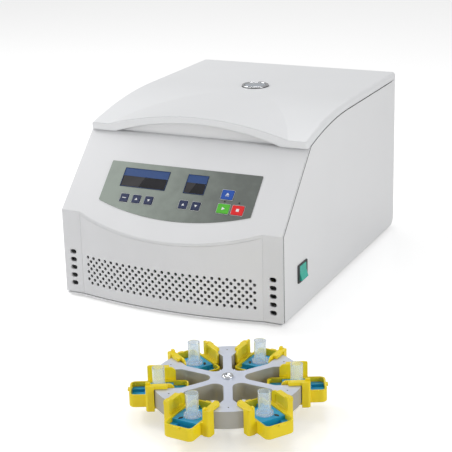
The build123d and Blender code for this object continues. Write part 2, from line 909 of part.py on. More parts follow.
with BuildPart() as lid_shell:
    with BuildSketch(across(-width / 2)):
        add(lid_outline(0))
    extrude(amount=width)
    roof = lid_shell.faces().sort_by(Axis.Z)[-1]
    brow = lid_shell.faces().filter_by(GeomType.CYLINDER).sort_by(Axis.Z)[-1]
    nose_face = lid_shell.faces().sort_by(Axis.Y)[0]
    fillet(roof.edges().filter_by(Axis.Y) + brow.edges().filter_by(GeomType.CIRCLE)
           + nose_face.edges().filter_by(Axis.Z), lid_edge_radius)
    with BuildSketch(facing(lid_front)):
        add(hood_end(lid_top - hood_fall, slope_top + lid_lip, 0))
    with BuildSketch(facing(lid_front + hood_run)):
        add(hood_end(lid_top, lid_top - hood_back_arch, 0))
    loft(ruled=True)
    add(lid_hollow.part, mode=Mode.SUBTRACT)
    with BuildSketch(facing(lid_front - cut_margin)):
        with BuildLine():
            half = lip_half_width
            Line((half, lip_foot), (-half, lip_foot))
            SagittaArc((-half, lip_foot), (half, lip_foot), lip_crown - lip_foot)
        make_face()
    extrude(amount=-lid_wall - 2 * cut_margin, mode=Mode.SUBTRACT)
    with BuildSketch(level(lid_top + cut_margin)):
        with Locations((0, chamber_y)):
            Circle(sight_radius + sheet_gap)
    extrude(amount=-lid_wall - 2 * cut_margin, mode=Mode.SUBTRACT)
save(lid_shell, "lid_shell")

liner_width = width - 2 * lid_wall - 2 * liner_clearance
liner_end = depth - lid_wall - liner_back

with BuildPart() as lid_liner:
    with BuildSketch(level(liner_height)):
        with Locations((0, liner_front)):
            Rectangle(liner_width, liner_end - liner_front, align=(Align.CENTER, Align.MIN))
        with Locations((0, chamber_y)):
            Circle(sight_radius, mode=Mode.SUBTRACT)
    extrude(amount=liner_sheet)
    with BuildSketch(level(liner_height)):
        with Locations((0, chamber_y)):
            Circle(sight_radius + liner_ring)
            Circle(sight_radius, mode=Mode.SUBTRACT)
        with Locations((0, liner_end - liner_boss_back)):
            with GridLocations(liner_width - 2 * liner_boss_side, liner_boss_pitch, 2, 2):
                Circle(boss_radius)
    extrude(amount=lid_top - lid_wall - seat_gap - liner_height)
save(lid_liner, "lid_liner")

with BuildPart() as sight_glass:
    with BuildSketch(level(lid_top)):
        with Locations((0, chamber_y)):
            Circle(sight_radius + sight_flange)
    extrude(amount=sight_dome)
    with BuildSketch(level(lid_top)):
        with Locations((0, chamber_y)):
            Circle(sight_radius - sheet_gap)
    extrude(amount=-lid_wall)
save(sight_glass, "sight_glass")

with BuildPart() as lid_striker:
    with BuildSketch(facing(latch_y - striker_bar / 2)):
        with Locations((0, liner_height)):
            Rectangle(striker_width, striker_depth, align=(Align.CENTER, Align.MAX))
        with Locations((0, liner_height - striker_depth + striker_bar)):
            Rectangle(striker_width - 2 * striker_bar, striker_depth - 3 * striker_bar,
                      align=(Align.CENTER, Align.MIN), mode=Mode.SUBTRACT)
    extrude(amount=-striker_bar)
save(lid_striker, "lid_striker")

barrel = hinge_span / 4

with BuildPart() as hinge_brackets:
    for side in (-1, 1):
        with BuildSketch(across(side * hinge_x - hinge_span / 2)):
            with Locations((depth, rear_top - hinge_leaf_height)):
                Rectangle(hinge_leaf, hinge_leaf_height, align=Align.MIN)
        extrude(amount=hinge_span)
        for start in (-hinge_span / 2, barrel):
            with BuildSketch(across(side * hinge_x + start)):
                with Locations((hinge_y, hinge_z)):
                    Circle(hinge_barrel)
                with Locations((depth, hinge_z)):
                    Rectangle(hinge_reach, hinge_leaf_height / 2, align=(Align.MIN, Align.MAX))
                with Locations((hinge_y, hinge_z)):
                    Circle(hinge_pin, mode=Mode.SUBTRACT)
            extrude(amount=barrel)
save(hinge_brackets, "hinge_brackets")

with BuildPart() as hinge_pins:
    for side in (-1, 1):
        with BuildSketch(across(side * hinge_x - hinge_span / 2)):
            with Locations((hinge_y, hinge_z)):
                Circle(hinge_pin)
        extrude(amount=hinge_span)
save(hinge_pins, "hinge_pins")

with BuildPart() as lid_knuckles:
    for side in (-1, 1):
        with BuildSketch(across(side * hinge_x - barrel + sheet_gap)):
            with Locations((hinge_y, hinge_z)):
                Circle(hinge_barrel)
            with Locations((depth, hinge_z)):
                Rectangle(hinge_reach, hinge_barrel, align=Align.MIN)
            with Locations((depth, side_height + 2 * lid_gap)):
                Rectangle(hinge_leaf, lid_thickness - 4 * lid_gap, align=Align.MIN)
            with Locations((hinge_y, hinge_z)):
                Circle(hinge_pin + running_gap, mode=Mode.SUBTRACT)
        extrude(amount=2 * barrel - 2 * sheet_gap)
save(lid_knuckles, "lid_knuckles")

# ---------------------------------------------------------------- latch
hook_y = latch_y + hook_offset
hook_z = liner_height - striker_depth - hook_drop
hook_width = striker_width - 2 * striker_bar - 2 * hook_play
latch_floor = hook_z - hook_hub - 4 * latch_gap
latch_front = latch_y - striker_bar / 2 - latch_play
latch_back = hook_y + hook_hub + 2 * latch_gap

with BuildPart() as latch_unit:
    with BuildSketch(across(-striker_width / 2 - latch_gap - latch_wall)):
        with Locations((latch_front - latch_wall, latch_floor - latch_wall)):
            Rectangle(latch_back - latch_front + 2 * latch_wall,
                      flange_level - latch_floor + latch_wall, align=Align.MIN)
    extrude(amount=striker_width + 2 * latch_gap + 2 * latch_wall)
    with BuildSketch(across(-striker_width / 2 - latch_gap)):
        with Locations((latch_front, latch_floor)):
            Rectangle(latch_back - latch_front, flange_level - latch_floor, align=Align.MIN)
    extrude(amount=striker_width + 2 * latch_gap, mode=Mode.SUBTRACT)
    with BuildSketch(across(-striker_width / 2 - latch_gap)):
        with Locations((hook_y, hook_z)):
            Circle(hook_pin)
    extrude(amount=striker_width + 2 * latch_gap)
save(latch_unit, "latch_unit")

with BuildPart() as latch_hook:
    with BuildSketch(across(-hook_width / 2)):
        with Locations((hook_y, hook_z)):
            Circle(hook_hub)
        with Locations((hook_y - hook_pin, hook_z)):
            Rectangle(hook_hub, hook_rise, align=Align.MIN)
        with Locations((hook_y - hook_pin + hook_hub, hook_z + hook_rise)):
            Rectangle(hook_head, hook_hub, align=Align.MAX)
        with Locations((hook_y, hook_z)):
            Circle(hook_pin + running_gap, mode=Mode.SUBTRACT)
    extrude(amount=hook_width)
save(latch_hook, "latch_hook")

# ---------------------------------------------------------------- rotor
arm_half = arm_width / 2
shoulder = (slot_half_width * cos(radians(half_step)) + arm_half) / sin(radians(half_step))

with BuildSketch() as carrier_slot:
    Polygon((arm_half / sin(radians(half_step)), 0), (shoulder, -slot_half_width),
            (disc_radius + slot_half_width, -slot_half_width),
            (disc_radius + slot_half_width, slot_half_width), (shoulder, slot_half_width))
    fillet(carrier_slot.vertices().sort_by(Axis.X)[0], slot_end_radius)
    fillet(carrier_slot.vertices().filter_by(lambda corner: abs(corner.X - shoulder) < match),
           slot_shoulder_radius)

with BuildPart() as rotor_disc:
    with BuildSketch(rotor_plan(hub_drop)):
        Circle(disc_radius)
        with PolarLocations(0, places, start_angle=half_step):
            add(carrier_slot.sketch, mode=Mode.SUBTRACT)
    extrude(amount=disc_thickness)
    with BuildSketch(rotor_plan(hub_drop)):
        Circle(spigot_radius)
    extrude(amount=spigot_height, mode=Mode.SUBTRACT)
    with BuildSketch(rotor_plan(hub_drop)):
        Circle(nut_shank)
    extrude(amount=disc_thickness, mode=Mode.SUBTRACT)
    with BuildSketch(rotor_plan(disc_top)):
        with PolarLocations(dimple_circle, places):
            Circle(dimple_radius)
    extrude(amount=-dimple_radius, mode=Mode.SUBTRACT)
    for place in range(places):
        turn = half_step * (2 * place + 1)
        with BuildSketch(rotor_side(turn, 0)):
            with Locations((pin_circle, pin_height)):
                Circle(pin_radius)
        extrude(amount=slot_half_width + pin_grip, both=True, mode=Mode.SUBTRACT)
save(rotor_disc, "rotor_disc")

with BuildPart() as rotor_hub:
    with BuildSketch(rotor_plan(0)):
        Circle(hub_radius)
    extrude(amount=hub_drop)
    chamfer(rotor_hub.edges().group_by(Axis.Z)[0], edge_chamfer)
    with BuildSketch(rotor_plan(hub_drop)):
        Circle(spigot_radius)
    extrude(amount=spigot_height)
    with BuildSketch(rotor_plan(0)):
        Circle(shaft_radius + bore_clearance)
    extrude(amount=bore_depth, mode=Mode.SUBTRACT)
    with BuildSketch(rotor_plan(bore_depth)):
        Circle(nut_shank)
    extrude(amount=hub_drop + spigot_height - bore_depth, mode=Mode.SUBTRACT)
save(rotor_hub, "rotor_hub")

with BuildPart() as rotor_nut:
    with BuildSketch(rotor_plan(disc_top)):
        Circle(nut_radius)
    extrude(amount=nut_height)
    fillet(rotor_nut.edges().group_by(Axis.Z)[-1], nut_height / 2)
    with BuildSketch(rotor_plan(disc_top + nut_height)):
        RegularPolygon(nut_shank, 6, major_radius=False)
    extrude(amount=-nut_height + nut_floor, mode=Mode.SUBTRACT)
    with BuildSketch(rotor_plan(disc_top)):
        Circle(nut_shank - nut_clearance)
    extrude(amount=bore_depth - disc_top)
save(rotor_nut, "rotor_nut")

with BuildPart() as trunnion_pins:
    for place in range(places):
        turn = half_step * (2 * place + 1)
        for side in (-1, 1):
            with BuildSketch(rotor_side(turn, side * (ear_inside + pin_inset))):
                with Locations((pin_circle, pin_height)):
                    Circle(pin_radius)
            extrude(amount=side * (slot_half_width + pin_grip - ear_inside - pin_inset))
save(trunnion_pins, "trunnion_pins")

ear_top = disc_top + ear_rise
ear_length = ear_end - ear_start
ear_middle = (ear_start + ear_end) / 2
panel_start = pin_circle + pin_radius + panel_margin
panel_length = ear_end - panel_margin - panel_start
panel_middle = panel_start + panel_length / 2
panel_height = ear_top - basket_rim - 2 * panel_margin
flange_middle = (flange_start + ear_end) / 2
flange_side = slot_half_width + flange_reach
post_side = slot_half_width + post_reach
post_start = disc_radius * cos(radians(half_step))
tube_foot = slide_top + seat_gap
collar_foot = tube_foot + block_height - collar_seat + seat_gap


def slide_carrier(turn):
    """Swinging carrier: a basket with an ear, a rest flange and a post on each side."""
    with BuildPart() as carrier:
        with BuildSketch(rotor_plan(basket_bottom, turn)):
            with Locations((basket_middle, 0)):
                RectangleRounded(basket_length, basket_width, basket_corner)
            with Locations((ear_middle, 0)):
                RectangleRounded(ear_length, 2 * ear_outside, ear_wall)
        extrude(amount=basket_depth)
        fillet(carrier.edges().group_by(Axis.Z)[0], basket_edge)
        for face in (ear_inside, -ear_outside):
            with BuildSketch(rotor_side(turn, face)) as ear_face:
                with Locations((ear_middle, ear_top)):
                    Rectangle(ear_length, ear_top - basket_rim + cut_margin,
                              align=(Align.CENTER, Align.MAX))
                top_corners = ear_face.vertices().group_by(Axis.Y)[-1]
                fillet(top_corners.sort_by(Axis.X)[0], ear_corner)
                with Locations((ear_end, ear_top)):
                    Rectangle(tab_length, tab_rise, align=(Align.MAX, Align.MIN))
                fillet(ear_face.vertices().group_by(Axis.Y)[-1], tab_corner)
            extrude(amount=ear_wall)
        for face, inwards in ((ear_inside, 1), (-ear_inside, -1)):
            with BuildSketch(rotor_side(turn, face)):
                with Locations((panel_middle, (basket_rim + ear_top) / 2)):
                    RectangleRounded(panel_length, panel_height, panel_corner)
            extrude(amount=inwards * panel_recess, mode=Mode.SUBTRACT)
        with BuildSketch(rotor_plan(disc_top + flange_seat, turn)):
            with GridLocations(2 * flange_middle, flange_side + ear_inside, 2, 2):
                Rectangle(ear_end - flange_start, flange_side - ear_inside)
            with Locations((-flange_middle, 0)):
                Rectangle(ear_length, 3 * flange_side, mode=Mode.SUBTRACT)
        extrude(amount=ear_rise - flange_seat)
        with BuildSketch(rotor_plan(basket_bottom, turn)):
            with Locations(((post_start + ear_end) / 2, 0)):
                RectangleRounded(ear_end - post_start, 2 * post_side, post_corner)
                Rectangle(ear_end - post_start, 2 * ear_inside, mode=Mode.SUBTRACT)
            Circle(disc_radius + post_gap, mode=Mode.SUBTRACT)
        extrude(amount=ear_top - basket_bottom)
        with BuildSketch(rotor_plan(basket_bottom + basket_floor, turn)):
            with Locations((basket_middle, 0)):
                RectangleRounded(basket_length - 2 * basket_wall, basket_width - 2 * basket_wall,
                                 basket_corner - basket_wall)
        extrude(amount=ear_top - basket_bottom, mode=Mode.SUBTRACT)
        for side in (-1, 1):
            with BuildSketch(rotor_side(turn, side * (ear_inside + pin_skin))):
                with Locations((pin_circle, pin_height)):
                    Circle(pin_radius + running_gap)
            extrude(amount=side * (ear_wall - pin_skin), mode=Mode.SUBTRACT)
        with BuildSketch(rotor_plan(basket_rim, turn)):
            with Locations((basket_middle, 0)):
                Rectangle(basket_length + 2 * nub_length, nub_width)
                Rectangle(basket_length - 2 * basket_wall, nub_width, mode=Mode.SUBTRACT)
        extrude(amount=-nub_length)
    return carrier


def slide_holder(turn):
    """Blue insert: two low wings and a raised block, bored for the tube and its collar."""
    length = basket_length - 2 * basket_wall - 2 * holder_play
    across_basket = basket_width - 2 * basket_wall - 2 * holder_play
    with BuildPart() as holder:
        with BuildSketch(rotor_plan(tube_foot, turn)):
            with Locations((basket_middle, 0)):
                RectangleRounded(length, across_basket, basket_corner - basket_wall)
        extrude(amount=wing_height)
        with BuildSketch(rotor_plan(tube_foot + wing_height, turn)):
            with Locations((basket_middle, 0)):
                Rectangle(length, channel_width)
        extrude(amount=-channel_depth, mode=Mode.SUBTRACT)
        with BuildSketch(rotor_plan(tube_foot, turn)):
            with Locations((basket_middle, 0)):
                Rectangle(block_length, across_basket)
        extrude(amount=block_height)
        with BuildSketch(rotor_plan(tube_foot, turn)):
            with Locations((basket_middle, 0)):
                Circle(tube_radius + holder_play)
        extrude(amount=block_height, mode=Mode.SUBTRACT)
        with BuildSketch(rotor_plan(collar_foot - seat_gap, turn)):
            with Locations((basket_middle, 0)):
                Circle(collar_radius + holder_play)
        extrude(amount=collar_seat, mode=Mode.SUBTRACT)
    return holder


def sample_tube(turn):
    """Clear tube on its collar, with the glass slide that it stands on."""
    with BuildPart() as tube:
        with BuildSketch(rotor_plan(slide_bottom, turn)):
            with Locations((basket_middle, 0)):
                Rectangle(slide_length, slide_width)
        extrude(amount=slide_thickness)
        with BuildSketch(rotor_plan(collar_foot, turn)):
            with Locations((basket_middle, 0)):
                Circle(collar_radius)
        extrude(amount=collar_height)
        with BuildSketch(rotor_plan(tube_foot, turn)):
            with Locations((basket_middle, 0)):
                Circle(tube_radius)
        extrude(amount=tube_height)
        with BuildSketch(rotor_plan(tube_foot + tube_wall, turn)):
            with Locations((basket_middle, 0)):
                Circle(tube_radius - tube_wall)
        extrude(amount=tube_height, mode=Mode.SUBTRACT)
        with BuildSketch(rotor_plan(tube_foot, turn)):
            with Locations((basket_middle, 0)):
                Circle(port_radius)
        extrude(amount=tube_wall, mode=Mode.SUBTRACT)
    return tube


for place in range(places):
    carrier_turn = half_step * (2 * place + 1)
    save(slide_carrier(carrier_turn), f"slide_carrier_{place + 1}")
    save(slide_holder(carrier_turn), f"slide_holder_{place + 1}")
    save(sample_tube(carrier_turn), f"sample_tube_{place + 1}")
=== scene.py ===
"""Looks of a bench cytocentrifuge and of its open rotor, which stands in front of it."""

import json
import logging
import math
from dataclasses import dataclass, field
from enum import Enum
from typing import ClassVar

import bmesh
import bpy
from mathutils import Matrix, Vector


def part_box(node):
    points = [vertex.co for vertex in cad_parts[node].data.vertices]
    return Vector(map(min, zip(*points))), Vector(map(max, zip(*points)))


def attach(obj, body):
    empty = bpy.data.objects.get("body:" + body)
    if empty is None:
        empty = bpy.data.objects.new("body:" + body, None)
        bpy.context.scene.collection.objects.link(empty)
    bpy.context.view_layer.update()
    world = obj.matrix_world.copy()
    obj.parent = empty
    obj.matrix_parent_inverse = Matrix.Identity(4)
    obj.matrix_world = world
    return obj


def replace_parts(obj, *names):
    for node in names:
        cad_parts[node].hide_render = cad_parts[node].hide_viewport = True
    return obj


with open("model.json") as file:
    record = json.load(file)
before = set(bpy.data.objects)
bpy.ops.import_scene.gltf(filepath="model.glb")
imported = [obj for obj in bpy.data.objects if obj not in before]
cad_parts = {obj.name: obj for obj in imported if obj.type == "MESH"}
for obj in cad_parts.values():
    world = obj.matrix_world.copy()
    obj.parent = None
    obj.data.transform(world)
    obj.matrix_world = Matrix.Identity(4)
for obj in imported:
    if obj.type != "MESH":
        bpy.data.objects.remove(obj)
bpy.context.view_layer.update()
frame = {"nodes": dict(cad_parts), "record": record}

Colour = tuple[float, float, float]
Triple = tuple[float, float, float]
Point = tuple[float, float]

log = logging.getLogger("cytocentrifuge")
MM = 0.001
WELD = 1e-6
WIDE_SPAN: Point = (0.3, 0.7)
NARROW_SPAN: Point = (0.35, 0.65)


# ---- finishes
class Shader:
    """A material under construction, with short ways to add and join its nodes."""

    BEVEL_SAMPLES = 6

    def __init__(self, name: str) -> None:
        """Start an empty material with one Principled surface.

        Args:
            name: the material's name.
        """
        self.material = bpy.data.materials.new(name)
        self.material.use_nodes = True
        self.nodes = self.material.node_tree.nodes
        self.links = self.material.node_tree.links
        self.surface = next(n for n in self.nodes if n.type == "BSDF_PRINCIPLED")
        self.output = next(n for n in self.nodes if n.type == "OUTPUT_MATERIAL")

    def set(self, **sockets: object) -> None:
        """Set constant values on the surface's own sockets.

        Args:
            **sockets: socket names with _ for a space, and their values.
        """
        for name, value in sockets.items():
            socket = self.surface.inputs[name.replace("_", " ")]
            socket.default_value = (*value, 1.0) if socket.type == "RGBA" else value

    def node(self, kind: str, **settings: object) -> bpy.types.Node:
        """Add a node and set its properties.

        Args:
            kind: the node's type.
            **settings: its properties.

        Returns:
            The new node.
        """
        made = self.nodes.new(kind)
        for name, value in settings.items():
            setattr(made, name, value)
        return made

    def join(self, source: bpy.types.NodeSocket, target: bpy.types.NodeSocket) -> None:
        """Link an output to an input.

        Args:
            source: the output.
            target: the input.
        """
        self.links.new(source, target)

    def position(self, scale: Triple = (1.0, 1.0, 1.0),
                 turn: Triple = (0.0, 0.0, 0.0)) -> bpy.types.NodeSocket:
        """Object coordinates, stretched and turned.

        Args:
            scale: the stretch along each axis.
            turn: the turn about each axis, in radians.

        Returns:
            The output that carries the coordinates.
        """
        source = self.node("ShaderNodeTexCoord")
        mapping = self.node("ShaderNodeMapping")
        mapping.inputs["Scale"].default_value = scale
        mapping.inputs["Rotation"].default_value = turn
        self.join(source.outputs["Object"], mapping.inputs["Vector"])
        return mapping.outputs["Vector"]

    def noise(self, size: float, detail: float = 2.0, scale: Triple = (1.0, 1.0, 1.0),
              turn: Triple = (0.0, 0.0, 0.0)) -> bpy.types.NodeSocket:
        """Noise whose grains are about so large.

        Args:
            size: the grain in metres.
            detail: how many finer layers it has.
            scale: a further stretch along each axis.
            turn: a turn of the pattern, in radians.

        Returns:
            The output that carries the noise.
        """
        texture = self.node("ShaderNodeTexNoise")
        texture.inputs["Scale"].default_value = 1.0 / size
        texture.inputs["Detail"].default_value = detail
        self.join(self.position(scale, turn), texture.inputs["Vector"])
        return texture.outputs["Fac"]

    def ramp(self, value: bpy.types.NodeSocket, low: float, high: float,
             first: float, last: float) -> bpy.types.NodeSocket:
        """Map a value from one span to another.

        Args:
            value: the value.
            low: where the span starts.
            high: where the span ends.
            first: the result at the start.
            last: the result at the end.

        Returns:
            The output that carries the result.
        """
        spread = self.node("ShaderNodeMapRange")
        for name, number in (("From Min", low), ("From Max", high),
                             ("To Min", first), ("To Max", last)):
            spread.inputs[name].default_value = number
        self.join(value, spread.inputs["Value"])
        return spread.outputs["Result"]

    def upright(self, level: float, steep: float) -> bpy.types.NodeSocket:
        """Tell level faces from upright ones by the object's own normals.

        Args:
            level: the normal's height that still counts as level.
            steep: the height below which a face counts as upright.

        Returns:
            The output that is 0 on level faces and 1 on upright ones.
        """
        source = self.node("ShaderNodeTexCoord")
        split = self.node("ShaderNodeSeparateXYZ")
        self.join(source.outputs["Normal"], split.inputs[0])
        height = self.node("ShaderNodeMath", operation="ABSOLUTE")
        self.join(split.outputs["Z"], height.inputs[0])
        return self.ramp(height.outputs[0], level, steep, 0.0, 1.0)

    def tint(self, value: bpy.types.NodeSocket, first: Colour, last: Colour) -> None:
        """Colour the surface between two shades by a value from 0 to 1.

        Args:
            value: the value.
            first: the colour at 0.
            last: the colour at 1.
        """
        mix = self.node("ShaderNodeMix", data_type="RGBA")
        mix.inputs["A"].default_value = (*first, 1.0)
        mix.inputs["B"].default_value = (*last, 1.0)
        self.join(value, mix.inputs["Factor"])
        self.join(mix.outputs["Result"], self.surface.inputs["Base Color"])

    def mottle(self, value: bpy.types.NodeSocket, span: Point, colour: Colour,
               shade: float) -> None:
        """Darken the surface's colour a little where a value is high.

        Args:
            value: the value.
            span: the values at which the darkening starts and is full.
            colour: the colour where the value is low.
            shade: what is left of it where the value is high.
        """
        self.tint(self.ramp(value, *span, 0.0, 1.0), colour, tuple(c * shade for c in colour))

    def relief(self, height: bpy.types.NodeSocket, depth: float, rounding: float = 0.0) -> None:
        """Give the surface a bump, and rounded edges.

        Args:
            height: the bump's height, from 0 to 1.
            depth: its depth in metres.
            rounding: the radius that edges are shaded with, in metres.
        """
        bump = self.node("ShaderNodeBump")
        bump.inputs["Strength"].default_value = 1.0
        bump.inputs["Distance"].default_value = depth
        self.join(height, bump.inputs["Height"])
        if rounding:
            bevel = self.node("ShaderNodeBevel", samples=self.BEVEL_SAMPLES)
            bevel.inputs["Radius"].default_value = rounding
            self.join(bevel.outputs["Normal"], bump.inputs["Normal"])
        self.join(bump.outputs["Normal"], self.surface.inputs["Normal"])


@dataclass(frozen=True)
class Enamel:
    """Sprayed and baked paint on sheet metal, with a faint orange peel."""

    name: str
    colour: Colour
    shade: float = 0.965
    roughness: float = 0.36
    cloud: float = 0.12
    peel: float = 0.0022
    depth: float = 0.000025
    rounding: float = 0.0012

    def build(self) -> bpy.types.Material:
        """Build the material.

        Returns:
            The finished material.
        """
        shader = Shader(self.name)
        shader.set(Roughness=self.roughness, IOR=1.5, Coat_Weight=0.15, Coat_Roughness=0.2)
        shader.mottle(shader.noise(self.cloud, detail=3.0), WIDE_SPAN, self.colour, self.shade)
        shader.relief(shader.noise(self.peel, detail=1.0), self.depth, self.rounding)
        return shader.material


@dataclass(frozen=True)
class Moulded:
    """Moulded plastic with a fine grain."""

    name: str
    colour: Colour
    roughness: float = 0.4
    cloud: float = 0.03
    grain: float = 0.0007
    depth: float = 0.00003
    rounding: float = 0.0008
    shade: float = 0.93
    glow: float = 0.0

    def build(self) -> bpy.types.Material:
        """Build the material.

        Returns:
            The finished material.
        """
        shader = Shader(self.name)
        shader.set(Roughness=self.roughness, IOR=1.48)
        if self.glow:
            shader.set(Subsurface_Weight=self.glow, Subsurface_Radius=(0.004, 0.003, 0.001),
                       Subsurface_Scale=0.5)
        shader.mottle(shader.noise(self.cloud), NARROW_SPAN, self.colour, self.shade)
        shader.relief(shader.noise(self.grain, detail=1.0), self.depth, self.rounding)
        return shader.material


@dataclass(frozen=True)
class Brushed:
    """Bare metal with fine lines along one direction, or round an axis where it was turned."""

    name: str
    colour: Colour
    roughness: float = 0.3
    lines: Triple = (1.0, 1.0, 60.0)
    size: float = 0.02
    depth: float = 0.00002
    rounding: float = 0.0005
    metallic: float = 1.0
    shade: float = 0.86
    spread: float = 0.25
    shaded_flank: Colour | None = None
    shaded_flank_span: Point = (0.75, 0.3)

    def build(self) -> bpy.types.Material:
        """Build the material.

        Returns:
            The finished material.
        """
        shader = Shader(self.name)
        shader.set(Metallic=self.metallic)
        streak = shader.noise(self.size, detail=4.0, scale=self.lines)
        # Upright faces take the darker flank colour: painted shade on the sides, as if lit from
        # above.
        if self.shaded_flank:
            shader.tint(shader.upright(*self.shaded_flank_span), self.colour, self.shaded_flank)
        else:
            shader.mottle(streak, WIDE_SPAN, self.colour, self.shade)
        least, most = (self.roughness * (1 + sign * self.spread) for sign in (-1, 1))
        shader.join(shader.ramp(streak, 0.2, 0.8, least, most),
                    shader.surface.inputs["Roughness"])
        shader.relief(streak, self.depth, self.rounding)
        return shader.material


@dataclass(frozen=True)
class Clear:
    """Tinted glass."""

    name: str
    colour: Colour
    roughness: float = 0.06
    transmission: float = 1.0
    shade: float = 0.98
    cloud: float = 0.01
    smear: float = 0.004
    haze: float = 0.05

    def build(self) -> bpy.types.Material:
        """Build the material.

        Returns:
            The finished material.
        """
        shader = Shader(self.name)
        shader.set(Transmission_Weight=self.transmission, IOR=1.45, Coat_Weight=1.0,
                   Coat_IOR=1.8, Coat_Roughness=0.03)
        shader.mottle(shader.noise(self.cloud), WIDE_SPAN, self.colour, self.shade)
        shader.join(shader.ramp(shader.noise(self.smear), *WIDE_SPAN, self.roughness,
                                self.roughness + self.haze), shader.surface.inputs["Roughness"])
        return shader.material


@dataclass(frozen=True)
class Screen:
    """Dark display glass, with a fine streak in its tint."""

    name: str
    colour: Colour
    sheen: Colour
    streak: float = 0.03
    stretch: Triple = (1.0, 1.4, 1.4)
    lean: float = 0.6

    def build(self) -> bpy.types.Material:
        """Build the material.

        Returns:
            The finished material.
        """
        shader = Shader(self.name)
        shader.set(Roughness=0.2, IOR=1.5, Coat_Weight=0.4, Coat_Roughness=0.1)
        wave = shader.noise(self.streak, 1.0, self.stretch, (0.0, 0.0, self.lean))
        shader.tint(shader.ramp(wave, *NARROW_SPAN, 0.0, 1.0), self.colour, self.sheen)
        return shader.material


@dataclass(frozen=True)
class Milky:
    """Thin clear plastic, frosted by its ribs, with a faint painted glow."""

    name: str
    colour: Colour
    roughness: float = 0.09
    transmission: float = 0.85
    glow: float = 0.07
    frost: float = 0.012
    shade: float = 0.94

    def build(self) -> bpy.types.Material:
        """Build the material.

        Returns:
            The finished material.
        """
        shader = Shader(self.name)
        # The emission is painted light: a faint bluish glow from within the tubes.
        shader.set(Transmission_Weight=self.transmission, IOR=1.16, Roughness=self.roughness,
                   Coat_Weight=0.6, Coat_Roughness=0.08, Emission_Color=(0.75, 0.87, 1.0),
                   Emission_Strength=self.glow)
        shader.mottle(shader.noise(self.frost), WIDE_SPAN, self.colour, self.shade)
        return shader.material


@dataclass(frozen=True)
class Film:
    """Printed film whose colour runs from one end to the other."""

    name: str
    pale: Colour
    deep: Colour
    ends: Point
    roughness: float = 0.5
    cloud: float = 0.02
    drift: float = 0.12
    grain: float = 0.0004
    depth: float = 0.00002
    rounding: float = 0.0005

    def build(self) -> bpy.types.Material:
        """Build the material.

        Returns:
            The finished material.
        """
        shader = Shader(self.name)
        shader.set(Roughness=self.roughness, IOR=1.48)
        place = shader.node("ShaderNodeSeparateXYZ")
        shader.join(shader.position(), place.inputs[0])
        run = shader.ramp(place.outputs["X"], *self.ends, 0.0, 1.0)
        cloud = shader.ramp(shader.noise(self.cloud, detail=3.0), *WIDE_SPAN,
                            -self.drift, self.drift)
        both = shader.node("ShaderNodeMath", operation="ADD", use_clamp=True)
        shader.join(run, both.inputs[0])
        shader.join(cloud, both.inputs[1])
        shader.tint(both.outputs[0], self.pale, self.deep)
        shader.relief(shader.noise(self.grain, detail=1.0), self.depth, self.rounding)
        return shader.material


